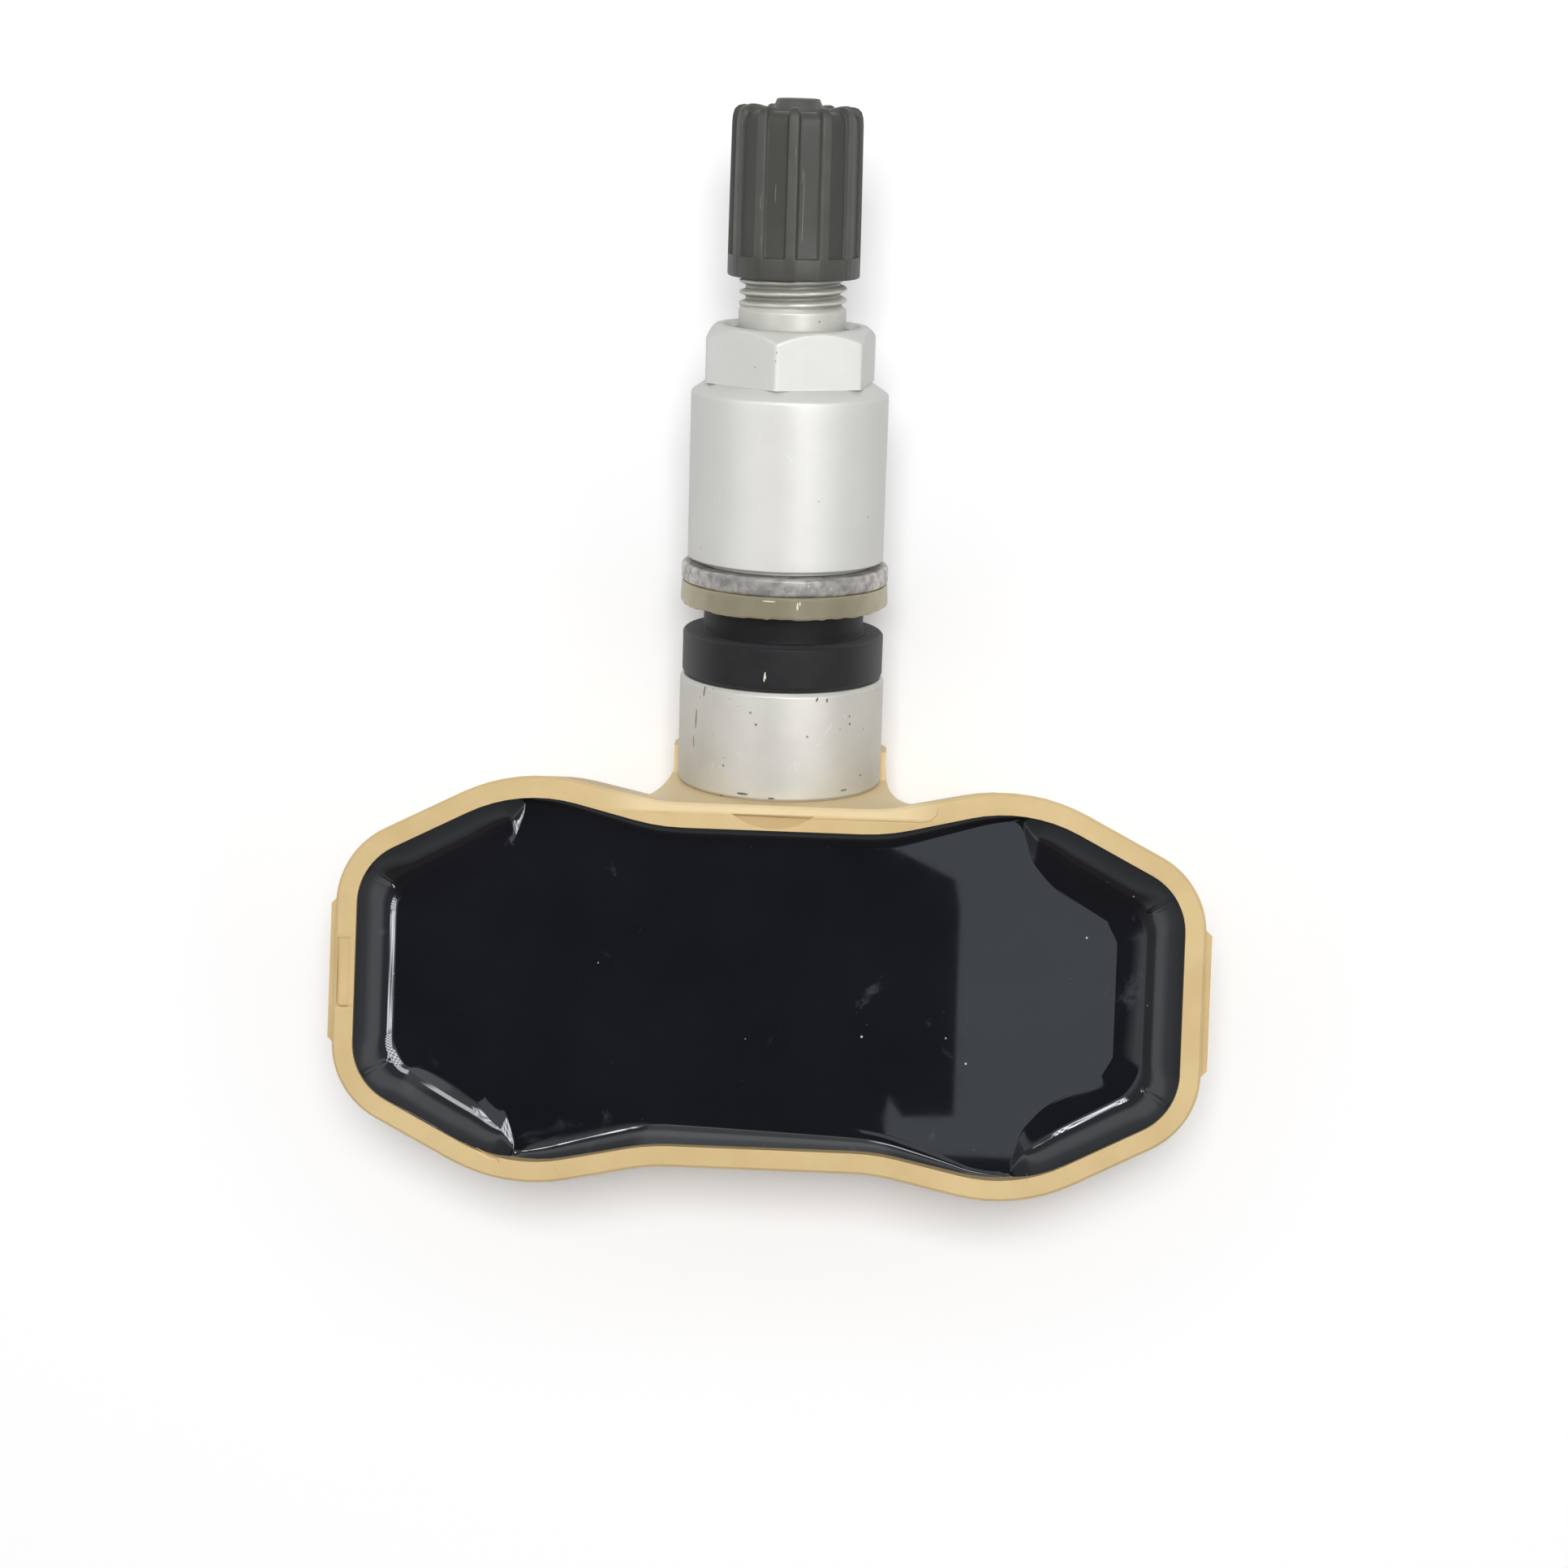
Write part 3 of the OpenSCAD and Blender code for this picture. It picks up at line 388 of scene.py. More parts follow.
def go_round(profile, angles, shape=None, ring=True):
    """Points and faces of a profile (radius, height) carried round the axis, moved by shape."""
    side = np.array(profile, float)
    r = np.repeat(side[:, :1], len(angles), 1)
    z = np.repeat(side[:, 1:], len(angles), 1)
    a = np.repeat(angles[None, :], len(side), 0)
    if shape:
        r, z = shape(r, z, a)
    points = np.stack([r * np.cos(a), r * np.sin(a), z], 2).reshape(-1, 3)
    return points, quads(*r.shape, ring)


def new_piece(name, points, faces, material, body, nodes=(), place=None, smooth=35):
    """A mesh object from points in mm. It rides on a body and stands for the CAD nodes named."""
    mesh = bpy.data.meshes.new(name)
    mesh.from_pydata([tuple(c * MM for c in p) for p in points], [], faces)
    if place is not None:
        mesh.transform(place)
    piece = bpy.data.objects.new(name, mesh)
    scene.collection.objects.link(piece)
    tidy_mesh(mesh)
    mesh.materials.append(material)
    soften(mesh, smooth)
    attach(piece, body)
    if nodes:
        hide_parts(*nodes)
    return piece


@contextmanager
def editing(mesh):
    """Lends out a mesh for edits and puts the result back."""
    bm = bmesh.new()
    bm.from_mesh(mesh)
    yield bm
    bm.to_mesh(mesh)
    bm.free()


def tidy_mesh(mesh):
    """Merges points that coincide, drops faces without area and turns all faces outwards."""
    weld = 0.0005 * MM
    with editing(mesh) as bm:
        bmesh.ops.remove_doubles(bm, verts=bm.verts, dist=weld)
        bmesh.ops.dissolve_degenerate(bm, edges=bm.edges, dist=weld)
        bmesh.ops.recalc_face_normals(bm, faces=bm.faces)


def soften(mesh, degrees):
    """Smooth shading, apart from edges sharper than the angle."""
    with editing(mesh) as bm:
        for face in bm.faces:
            face.smooth = True
        for edge in bm.edges:
            if len(edge.link_faces) == 2:
                edge.smooth = edge.calc_face_angle(0) < math.radians(degrees)


def bake(piece):
    """Turns the modifiers of a piece into plain mesh."""
    bpy.context.view_layer.update()
    seen = piece.evaluated_get(bpy.context.evaluated_depsgraph_get())
    baked = bpy.data.meshes.new_from_object(seen)
    piece.modifiers.clear()
    piece.data = baked


def stem_finish(name, *rest, **plain):
    """A finish whose grain follows the leaning stem."""
    return finish(name, *rest, on_stem=True, **plain)


def paint_shade_near_axis(material, start, end, share, tone):
    """Painted shade, laid over where the distance from the stem's axis goes from start to end, in
    mm.
    """
    tree = material.node_tree
    from_axis = own_place(tree, True)[3]
    overlay(material, product(tree, ramp(tree, from_axis, start * MM, end * MM), share), tone)


def full_turn(steps):
    return np.linspace(0, 2 * math.pi, steps, endpoint=False)


def turned_ring(name, profile, step, angles, material, body, node, smooth=50, shape=None,
                lift=0):
    """A closed profile carried round the stem. It stands for a CAD node."""
    points, faces = go_round(closed_ring(profile, step), angles, shape)
    points[:, 2] += lift
    return new_piece(name, points, faces, material, body, (node,), STEM, smooth)


ROUND = full_turn(192)
print("round parts are drawn with", len(ROUND), "steps")

# %% [markdown]
# Copies of solids.
#
# A shape that the solid model already has right is copied rather than built again. The copy is
# welded, its flat faces are joined, and a narrow bevel breaks its sharp edges. A bevel modifier
# does that in one step, and it only ever takes material away, so the piece stays in its place.

# %% Helper for copies of solids
WELD, FLAT_ANGLE, BEVEL_ANGLE = 0.002, math.radians(0.5), math.radians(30)


def repaint(mesh, material):
    """Leaves the mesh with one material."""
    mesh.materials.clear()
    mesh.materials.append(material)


def dressed(node, material, body, bevel=0.05, smooth=35):
    """A copy of a node's solid with its edges broken by bevel, in mm. It stands for the node."""
    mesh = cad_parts[node].data.copy()
    mesh.name = node + "_dressed"
    piece = bpy.data.objects.new(node + "_dressed", mesh)
    scene.collection.objects.link(piece)
    with editing(mesh) as bm:
        bmesh.ops.remove_doubles(bm, verts=bm.verts, dist=WELD * MM)
        bmesh.ops.dissolve_limit(bm, angle_limit=FLAT_ANGLE, verts=bm.verts, edges=bm.edges)
    repaint(mesh, material)
    if bevel:
        cut = piece.modifiers.new("soft_edges", "BEVEL")
        cut.width = bevel * MM
        cut.segments = 2
        cut.limit_method = "ANGLE"
        cut.angle_limit = BEVEL_ANGLE
        bake(piece)
    soften(piece.data, smooth)
    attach(piece, body)
    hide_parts(node)
    return piece


print("copy helper ready")

# %% [markdown]
# The housing.
#
# The housing is a moulded tray of glass-filled nylon, in the tan of the raw material. It is matt,
# with a fine moulded grain, and slightly paler where it has been rubbed. Its shape comes from the
# solid model, so it is a copy, smooth shaded across its facets, and the marks that the mould left
# are added as thin raised lines.

# %% Housing
tan_nylon = finish("housing_nylon", ((208, 184, 137), (195, 170, 123)), 5.0, (0.42, 0.56), 0.12,
                   0.005, spread=0.3, scratch=((220, 202, 162), (1, 1, 1), 2.2, 0.03),
                   dust=((172, 146, 100), 0.9, 0.05, 0.08), Specular_IOR_Level=0.4)
tree = tan_nylon.node_tree
x, y, z, _ = own_place(tree)
SEAT_EDGE, MOON_MIDDLE, MOON_R = 12.42, 16.22, 4.8
# Painted light: the sloped seat in front of the stem is painted paler, lifting the slope that the
# light leaves darker.
painted_light_on_seat = product(tree, ramp(tree, y, 12.3 * MM, 12.6 * MM),
                    ramp(tree, maths(tree, "ABSOLUTE", x), 13 * MM, 9 * MM))
overlay(tan_nylon, product(tree, painted_light_on_seat, 0.6), (236, 216, 176))
from_middle = distance(tree, x, maths(tree, "SUBTRACT", y, MOON_MIDDLE * MM))
in_moon = product(tree, ramp(tree, from_middle, (MOON_R + 0.03) * MM, (MOON_R - 0.05) * MM),
                  ramp(tree, y, (SEAT_EDGE + 0.03) * MM, (SEAT_EDGE - 0.03) * MM),
                  ramp(tree, z, 14 * MM, 15 * MM))
overlay(tan_nylon, product(tree, in_moon, 0.85), (186, 160, 114))
housing = dressed("housing", tan_nylon, "root", bevel=0, smooth=28)
print("housing faces:", len(housing.data.polygons))

# %% [markdown]
# Lines that the mould and the trimming left.
#
# A witness line runs from the gate mark to the right, where one slide of the mould met the next.
# There is another round the small mark on the left end of the rim, and the lower rim has chips
# where the parting edge was cut back. They are thin strips of real mesh, a few hundredths of a
# millimetre high, sunk a little into the rim. The darker strips are painted shade: their colour
# stands for the shade down in the grooves and chips, which a raised strip under soft light would
# not show.

# %% Fine lines
FACE = 18.0


def fine_line(name, material, width, height, path):
    """A low ridge along a path of x and y in mm on the front of the rim."""
    section = [(-1, -0.04), (-0.45, height * 0.8), (0, height), (0.45, height * 0.8), (1, -0.04)]
    path = [Vector((x, y, FACE)) for x, y in path]
    ends = (0, len(path) - 1)
    points = []
    for i, here in enumerate(path):
        along = path[min(i + 1, ends[1])] - path[max(i - 1, 0)]
        side = Vector((-along.y, along.x, 0)).normalized() * width / 2 * (0.35 if i in ends else 1)
        points += [here + side * across + Vector((0, 0, up)) for across, up in section]
    faces = quads(len(path), 5)
    faces += [(4, 3, 2, 1, 0), tuple(range(len(points) - 5, len(points)))]
    return new_piece(name, points, faces, material, "root", smooth=60)


# Painted shade: the darker tan of the grooves and chips.
groove_shade = finish("groove_shade_nylon", ((180, 152, 104), (166, 138, 92)), 0.8, (0.5, 0.62), 0.1, 0.004,
                 dust=((140, 112, 70), 0.3, 0.1, 0.12))
rubbed = finish("rubbed_nylon", ((232, 216, 176), (222, 204, 162)), 0.8, (0.45, 0.58), 0.1, 0.004,
                dust=((240, 228, 196), 0.3, 0.1, 0.12))
FINE_LINES = [
    ("witness_line", groove_shade, 0.09, 0.02, [(2.9, 12.28), (6.5, 12.3), (10.6, 12.3), (11.3, 12.45),
                                           (11.68, 12.85), (11.8, 13.4)]),
    ("witness_light", rubbed, 0.05, 0.02, [(3.3, 12.2), (6.5, 12.22), (10.4, 12.22)]),
    ("gate_chord", groove_shade, 0.07, 0.02, [(-3.0, 12.36), (0, 12.33), (2.9, 12.28)]),
    ("left_witness", groove_shade, 0.06, 0.02, [(-9.2, 12.3), (-7.4, 12.34)]),
    ("mark_side", groove_shade, 0.07, 0.02, [(-30.95, 2.55), (-30.92, 0.2), (-30.85, -2.3)]),
    ("mark_foot", groove_shade, 0.11, 0.02, [(-30.85, -2.3), (-30.6, -2.44), (-29.75, -2.4)]),
    ("mark_top", groove_shade, 0.05, 0.02, [(-30.95, 2.55), (-29.85, 2.6)]),
    ("chip_long", groove_shade, 0.16, 0.03, [(-20.45, -12.3), (-19.6, -12.75), (-18.95, -12.95),
                                        (-18.75, -13.35)]),
    ("chip_pale", rubbed, 0.12, 0.03, [(-20.5, -12.5), (-19.7, -12.95), (-19.1, -13.1)]),
    ("chip_tick", groove_shade, 0.07, 0.02, [(-21.25, -11.95), (-21.1, -12.25)]),
    ("seam_left", groove_shade, 0.05, 0.015, [(-14.9, -13.2), (-14.7, -13.6), (-14.4, -14.1)]),
    ("seam_right", groove_shade, 0.05, 0.015, [(19.05, -12.5), (19.1, -13.0), (19.12, -13.4)]),
]
for line in FINE_LINES:
    fine_line(*line)
print("fine lines on the rim:", len(FINE_LINES))

# %% [markdown]
# The potting resin.
#
# The tray is filled with black resin, poured as a liquid. It creeps up the wall before it sets, so
# the flat face ends in a hollow curve that is steep at the wall. That curve is what the photograph
# shows as bands of light round the edge. A bevel has the wrong curve, so the face is lofted: the
# outline of the pocket is drawn again and again, each time further in and lower. The creep is wide
# on the ends and slopes, almost nothing at the four lobes, and narrow along the waist, and a
# crease runs across it at each end corner, where two films met.

# %% Outline of the pocket
WALL, DEPTH, DRAFT, SKIN = 1.5, 18, math.tan(math.radians(0.75)), 0.01
CORNERS = [(31.2, 8.75, 6.1, 30), (18.4, 15.3, 12.8, 80), (8, 13.1, 13.5, 16)]
SEAT_PAD = 0.3


def pocket_corners():
    """Corner points of the pocket, anticlockwise from the right end: x, y, radius, steps."""
    def turned_over(quarter, side_x, side_y):
        return [(side_x * x, side_y * y, r, n) for x, y, r, n in quarter]

    top = [(x, y - SEAT_PAD if x < 10 else y, r, n) for x, y, r, n in CORNERS]
    return (top + turned_over(top[::-1], -1, 1) + turned_over(CORNERS, -1, -1)
            + turned_over(CORNERS[::-1], 1, -1))


def outline(inset, corners, between=14):
    """Points, inward directions and corner middles of a closed outline with round corners."""
    points, inwards, middles = [], [], []
    for i, (x, y, r, steps) in enumerate(corners):
        here = np.array((x, y))
        way_in = here - corners[i - 1][:2]
        way_out = np.array(corners[(i + 1) % len(corners)][:2]) - here
        way_in, way_out = way_in / np.linalg.norm(way_in), way_out / np.linalg.norm(way_out)
        turn = math.atan2(way_in[0] * way_out[1] - way_in[1] * way_out[0], way_in @ way_out)
        side = 1 if turn > 0 else -1
        radius = r - side * inset
        start = math.atan2(-way_in[0], way_in[1])
        middle = start + turn / 2
        centre = here - (side * radius + inset) / math.cos(turn / 2) * np.array(
            (math.cos(middle), math.sin(middle)))
        for k in range(steps + 1):
            t = start + turn * k / steps
            way = np.array((math.cos(t), math.sin(t)))
            if k == 0 and points:
                last = points[-1]
                for step in range(1, between):
                    points.append(last + (centre + side * radius * way - last) * step / between)
                    inwards.append(-way)
            if k == steps // 2:
                middles.append(len(points))
            points.append(centre + side * radius * way)
            inwards.append(-way)
    last = points[-1]
    for step in range(1, between):
        points.append(last + (points[0] - last) * step / between)
        inwards.append(inwards[0])
    return np.array(points), np.array(inwards), middles


RESIN_TOP, RESIN_FOOT = 17.64, 7.11
edge, inward_way, middles = outline(WALL + (DEPTH - RESIN_TOP) * DRAFT + SKIN, pocket_corners())
foot = outline(WALL + (DEPTH - RESIN_FOOT) * DRAFT + SKIN, pocket_corners())[0]
print("points round the pocket:", len(edge))

# %% Width of the creep round the pocket
run = np.concatenate([[0], np.cumsum(np.linalg.norm(np.diff(edge, axis=0), axis=1))])
whole = run[-1] + np.linalg.norm(edge[0] - edge[-1])
at = [run[m] for m in middles]
END_CREEP, SLOPE_CREEP, LOBE_CREEP, TOP_WAIST, LOW_WAIST = 2.95, 2.7, 0.16, 0.7, 1.5
RIGHT_WAIST = (9, 10)
keys = []
for i, place in enumerate(at):
    kind = ("end", "lobe", "waist", "waist", "lobe", "end")[i % 6]
    waist = TOP_WAIST if i < 6 else LOW_WAIST * (0.6 if i in RIGHT_WAIST else 1)
    if kind == "end":
        keys.append((place, END_CREEP))
    elif kind == "waist":
        keys.append((place, waist))
    else:
        to_end = -1 if i % 6 == 1 else 1
        thin = 0.35 if i in RIGHT_WAIST else 0.7
        keys += [(place, LOBE_CREEP), (place + to_end * 1.3, 0.74 * SLOPE_CREEP),
                 (place + to_end * 4.5, SLOPE_CREEP), (place - to_end * 3.5, thin * waist)]
places, widths = np.array(sorted(keys)).T
creep = np.sqrt(np.interp(run, places, widths ** 2, period=whole))
print("creep in mm, least and most:", round(creep.min(), 2), round(creep.max(), 2))

# %% Resin
FILM_END, FLAT_FROM = 0.88, 1.61
CREEP_SLOPE = [(0, 34), (0.27, 29), (0.5, 25.5), (0.66, 21), (0.73, 18), (FILM_END, 13.6),
               (0.91, 8.8), (1.1, 7.8), (1.3, 7), (1.5, 6.4), (1.56, 6), (FLAT_FROM, 0), (1.72, 0)]
LEAF_W, LEAF_RISE = 0.65, math.tan(math.radians(11.5))
CREASE_DEPTH = 0.08


def creep_profile(steps=82):
    """Share of the way in, and the drop there for a creep 1 mm wide, from its slope in degrees."""
    way = np.linspace(0, CREEP_SLOPE[-1][0], steps)
    slope = np.tan(np.radians(np.interp(way, *zip(*CREEP_SLOPE))))
    return way, np.concatenate([[0], np.cumsum((slope[1:] + slope[:-1]) / 2 * np.diff(way))])


def away_from(place):
    """Distance along the edge from a place on it, the short way round."""
    return (run - place + whole / 2) % whole - whole / 2


def near_corners(width):
    """1 at the four end corners, and less further along the edge."""
    return sum(np.exp(-(away_from(at[i]) / width) ** 2) for i in (0, 5, 6, 11))


def smoothed(ring):
    """Rounds a closed ring of points, most of all near the four end corners."""
    gaps = np.stack([away_from(r) for r in run])
    reach = 0.8 + 4.2 * near_corners(4)
    weights = np.exp(-(gaps / reach[:, None]) ** 2) * np.diff(np.concatenate([run, [whole]]))
    return (weights / weights.sum(1, keepdims=True)) @ ring


shares, drops = creep_profile()
flat_level = RESIN_TOP - drops[-1] * END_CREEP
crease = near_corners(0.17)
flat_edge = smoothed(edge + inward_way * (creep * FLAT_FROM)[:, None])
from_leaf = away_from((at[7] + at[6]) / 2) / (0.4 * abs(at[7] - at[6]))
leaf = LEAF_W * np.clip(1 - from_leaf ** 2, 0, 1) ** 2
points = [(x, y, RESIN_FOOT) for x, y in foot]
lip = flat_level + drops[-1] * creep + leaf * LEAF_RISE
points += [(x, y, min(z, RESIN_TOP)) for (x, y), z in zip(edge, lip)]
for share, drop in zip(shares[1:], drops[1:]):
    out = np.clip((share - FILM_END) / 0.05, 0, 1)
    ring = edge + (flat_edge - edge) * share / FLAT_FROM + inward_way * (leaf * out)[:, None]
    level = flat_level + (drops[-1] - drop) * creep + leaf * (1 - out) * LEAF_RISE
    level -= CREASE_DEPTH * crease * (share > 0.04) * np.clip((0.7 - share) / 0.1, 0, 1)
    points += [(x, y, z) for (x, y), z in zip(ring, level)]
n, rows = len(edge), len(shares) + 1
faces = quads(rows, n) + [tuple(range(n))[::-1], tuple(range((rows - 1) * n, rows * n))]
black = finish("potting_resin", ((20, 21, 24), (25, 26, 30)), 6.0, (0.02, 0.035), 1.6, 0.0,
               spread=0.35, Specular_Tint=(0.92, 0.96, 1.0, 1))
tree = black.node_tree
x, y, z, _ = own_place(tree)
flat_place = add(tree, "ShaderNodeCombineXYZ", {0: x, 1: y}).outputs[0]
on_face = ramp(tree, z, 16.9 * MM, 16.6 * MM)
for size, share, spot, tone in ((1.6, 0.35, 0.05, (196, 198, 202)),
                                (0.8, 0.2, 0.05, (84, 86, 92))):
    dots = place_group(tree, specks, size, Vector=flat_place, Share=share, Size=spot)
    overlay(black, product(tree, dots["Mask"], on_face), tone)
wiped = add(tree, "ShaderNodeTexNoise", {"Vector": flat_place, "Scale": 210.0, "Detail": 5.0,
                                         "Roughness": 0.62, "Distortion": 0.8}).outputs["Fac"]
smudge = product(tree, ramp(tree, wiped, 0.64, 0.76), 0.3)
overlay(black, product(tree, smudge, on_face), (92, 94, 100))
resin = new_piece("potted_resin", points, faces, black, "root", ("resin",),
                  smooth=40)
print("resin faces:", len(resin.data.polygons), "flat face at", round(float(flat_level), 2), "mm")

# %% [markdown]
# The valve stem.
#
# The stem is one turned piece of light alloy: a fat round foot that is moulded into the housing,
# a smooth shank, a coarse thread for the nut and a fine one for the cap. In the solid model the
# threads are plain rings, which is enough for a joint. Here they are real screw threads: the
# radius at each point follows how far the point is along the pitch, less the share of the turn
# that it has gone round. At both ends the groove fades out, as it does where the tool leaves.

# %% Thread shape
ROOT_TO, FLANK = 0.86, 0.66


def thread_depth(height, angle, start, end, pitch, fade):
    """Depth of the groove, 0 to 1, of a screw thread between two heights."""
    phase = (height - start) / pitch - angle / (2 * math.pi)
    away = np.abs(phase - np.floor(phase) - 0.5) * 2
    groove = np.clip((ROOT_TO - away) / FLANK, 0, 1)
    groove = groove * groove * (3 - 2 * groove)
    near_start = np.clip((height - start) / fade, 0, 1)
    near_end = np.clip((end - height) / fade, 0, 1)
    return groove * near_start * near_end


print("groove depth at its middle:", thread_depth(0.5, 0, 0, 1, 1, 0.1))

# %% Valve stem
BASE_R, BASE_LEN, BASE_BEVEL = 7.5, 8, 0.25
SHANK_R, NUT_THREAD_R, TIP_R, STEM_TOP = 4.4, 4.95, 3.875, 47.15
NUT_THREAD = dict(start=15.675, end=28.47, pitch=1.0, fade=0.7)
TIP_THREAD = dict(start=34.7, end=46.75, pitch=0.794, fade=0.55)
PORT_AT, PORT_R = 5, 1.2

base_edge = BASE_R - BASE_BEVEL
outside = ([(0, -2.1), (3.98, -2.1), (4, -2.08), (4, -1.07), (3, -1.05), (3, 0), (base_edge, 0)]
           + rounded([(base_edge, 0), (BASE_R, BASE_BEVEL), (BASE_R, BASE_LEN - BASE_BEVEL),
                      (base_edge, BASE_LEN)], 0.2, closed=False)
           + [(SHANK_R, BASE_LEN), (SHANK_R, 15.175), (NUT_THREAD_R, NUT_THREAD["start"]),
              (NUT_THREAD_R, NUT_THREAD["end"]), (TIP_R, 28.97), (TIP_R, STEM_TOP - 0.5)]
           + rounded([(TIP_R, STEM_TOP - 0.5), (TIP_R - 0.5, STEM_TOP), (3.05, STEM_TOP)], 0.12,
                     closed=False))
inside = [(2.55, STEM_TOP - 0.25), (2.55, 41.85), (1.9, 41.05), (1.9, 35.45), (1.3, 35.45),
          (1.3, PORT_AT), (0, PORT_AT)]
stem_side = filled(outside, 0.075, 15.2, STEM_TOP - 0.5) + inside


def cut_threads(r, z, a):
    """Both threads, on the outside only. A groove is 0.6 of its pitch deep."""
    outer = np.arange(len(r))[:, None] < len(r) - len(inside)
    for thread, radius in ((NUT_THREAD, NUT_THREAD_R), (TIP_THREAD, TIP_R)):
        here = (z > thread["start"]) & (z < thread["end"]) & (np.abs(r - radius) < 0.01)
        r = r - (outer & here) * 0.6 * thread["pitch"] * thread_depth(z, a, **thread)
    return r, z


alloy = stem_finish("scuffed_alloy", ((223, 222, 216), (214, 213, 207)), 2.4, (0.42, 0.52), 0.12,
                    0.0015, metallic=0.45, spread=0.3,
                    scratch=((240, 240, 237), (1, 1, 0.5), 0.5, 0.04),
                    dust=((96, 94, 90), 1.0, 0.3, 0.12))
# Painted shade: the tip thread's grooves and the bore are painted darker, where shade falls.
paint_shade_near_axis(alloy, 3.75, 3.42, 0.8, (112, 110, 102))
# Painted shade: the stem is painted darker towards its sides, as they turn from the eye.
paint_light_by_turn(alloy, 0.0, 0.65, 0.4, (160, 158, 150))
points, faces = go_round(stem_side, ROUND, cut_threads, ring=False)
stem = new_piece("turned_stem", points, faces, alloy, "root", ("valve_stem",), STEM,
                 40)
print("stem faces:", len(stem.data.polygons))

# %% [markdown]
# The hole in the foot.
#
# Air reaches the sensor through a hole drilled across the foot, on the underside. A boolean cut is
# the quickest way to make one clean hole in a curved wall, and it is applied at once, so that the
# finished mesh carries no modifier.

# %% Cross hole
def drill(piece, radius, height, length):
    """Cuts a round hole in mm from the stem's axis down to the underside."""
    mesh = bpy.data.meshes.new("drill")
    turn = Vector((0, 0, 1)).rotation_difference(Vector((0, 1, 0))).to_matrix().to_4x4()
    middle = Matrix.Translation((0, length * MM / 2, height * MM))
    with editing(mesh) as bm:
        bmesh.ops.create_cone(bm, cap_ends=True, segments=48, radius1=radius * MM,
                              radius2=radius * MM, depth=length * MM, matrix=middle @ turn)
    bit = bpy.data.objects.new("drill", mesh)
    bit.matrix_world = STEM
    scene.collection.objects.link(bit)
    cut = piece.modifiers.new("hole", "BOOLEAN")
    cut.operation = "DIFFERENCE"
    cut.object = bit
    cut.solver = "EXACT"
    bake(piece)
    bpy.data.objects.remove(bit)


drill(stem, PORT_R, PORT_AT, BASE_R + 1)
soften(stem.data, 40)
print("stem faces with its hole:", len(stem.data.polygons))

# %% [markdown]
# Rubber seal, nylon washer and metal washer.
#
# These three are stacked on the foot of the stem. The seal is moulded rubber: matt, nearly black
# and a little worn on its edge, with a painted sheen towards its sides and painted shade on its
# neck. The nylon washer is clear enough to glow, and its middle is painted darker than its sides,
# painted shade. Its lower edge is ragged where it was pressed over the rubber neck, so noise moves
# that edge in and out. The metal washer is a plated ring with a mottled face, painted darker where
# it faces the eye: painted shade.

# %% Rubber seal
SEAL_R = 7.35
rubber = stem_finish("seal_rubber", ((34, 34, 36), (27, 27, 29)), 1.6, (0.5, 0.64), 0.09, 0.006,
                     spread=0.3, scratch=((66, 66, 68), (1, 1, 0.3), 0.6, 0.05),
                     dust=((168, 168, 168), 0.9, 0.05, 0.07), Specular_IOR_Level=0.32)
# Painted sheen: the rubber is painted paler towards its sides.
paint_light_by_turn(rubber, 0.15, 0.8, 0.75, (74, 76, 79))
# Painted shade: the rubber neck is painted darker.
paint_shade_near_axis(rubber, 6.2, 5.9, 0.7, (16, 16, 18))
seal_side = rounded([(4.41, 8.01), (7.05, 8.01), (SEAL_R, 8.31), (SEAL_R, 11.14), (7.19, 11.3),
                     (5.85, 11.3), (5.85, 14.99), (4.41, 14.99)],
                    [0.02, 0.3, 0.3, 0.15, 0.15, 0.1, 0.1, 0.02])
seal = turned_ring("moulded_seal", seal_side, 0.4, ROUND, rubber, "root",
                   "rubber_seal")
print("seal faces:", len(seal.data.polygons))

# %% Nylon washer
NYLON_FOOT, NYLON_R, BURR_ZONE, BURRS = 13.35, 7.6, 0.35, 46
nylon = stem_finish("washer_nylon", ((186, 178, 151), (170, 162, 135)), 1.2, (0.3, 0.48), 0.1,
                    0.004, spread=0.3, scratch=((206, 198, 168), (1, 1, 4), 0.5, 0.08),
                    dust=((232, 228, 210), 0.5, 0.08, 0.12), Subsurface_Weight=0.35,
                    Subsurface_Radius=(0.0012, 0.001, 0.0006), Subsurface_Scale=1.0)
# Painted shade: the washer's middle is painted darker than its sides, where it faces the eye.
paint_light_by_turn(nylon, 0.75, 0.1, 0.7, (110, 106, 88))
chance = random.Random(7)
burrs = [(chance.uniform(0, 2 * math.pi), chance.uniform(0.03, 0.09), chance.uniform(0.02, 0.07))
         for _ in range(BURRS)]


def ragged(r, z, a):
    """Small burrs on the lower outer edge."""
    low_edge = np.clip(1 - (z - NYLON_FOOT) / BURR_ZONE, 0, 1) * (r > 7)
    push = 0.018 * np.sin(9 * a + 1) + 0.012 * np.sin(31 * a)
    for middle, wide, high in burrs:
        away = np.abs((a - middle + math.pi) % (2 * math.pi) - math.pi)
        push = push + high * np.clip(1 - away / wide, 0, 1)
    outwards, upwards = low_edge * (push - 0.03), low_edge * np.clip(0.04 - push, 0, 0.1)
    return np.minimum(r + outwards, NYLON_R), z + upwards


nylon_side = rounded([(5.87, 13.36), (7.45, 13.36), (7.59, 13.51), (7.52, 14.98), (5.87, 14.98)],
                     [0.05, 0.08, 0.08, 0.12, 0.05])
nylon_ring = turned_ring("pressed_nylon_washer", nylon_side, 0.12, full_turn(480), nylon,
                         "root", "nylon_washer", shape=ragged)
print("nylon washer faces:", len(nylon_ring.data.polygons), "burrs:", BURRS)

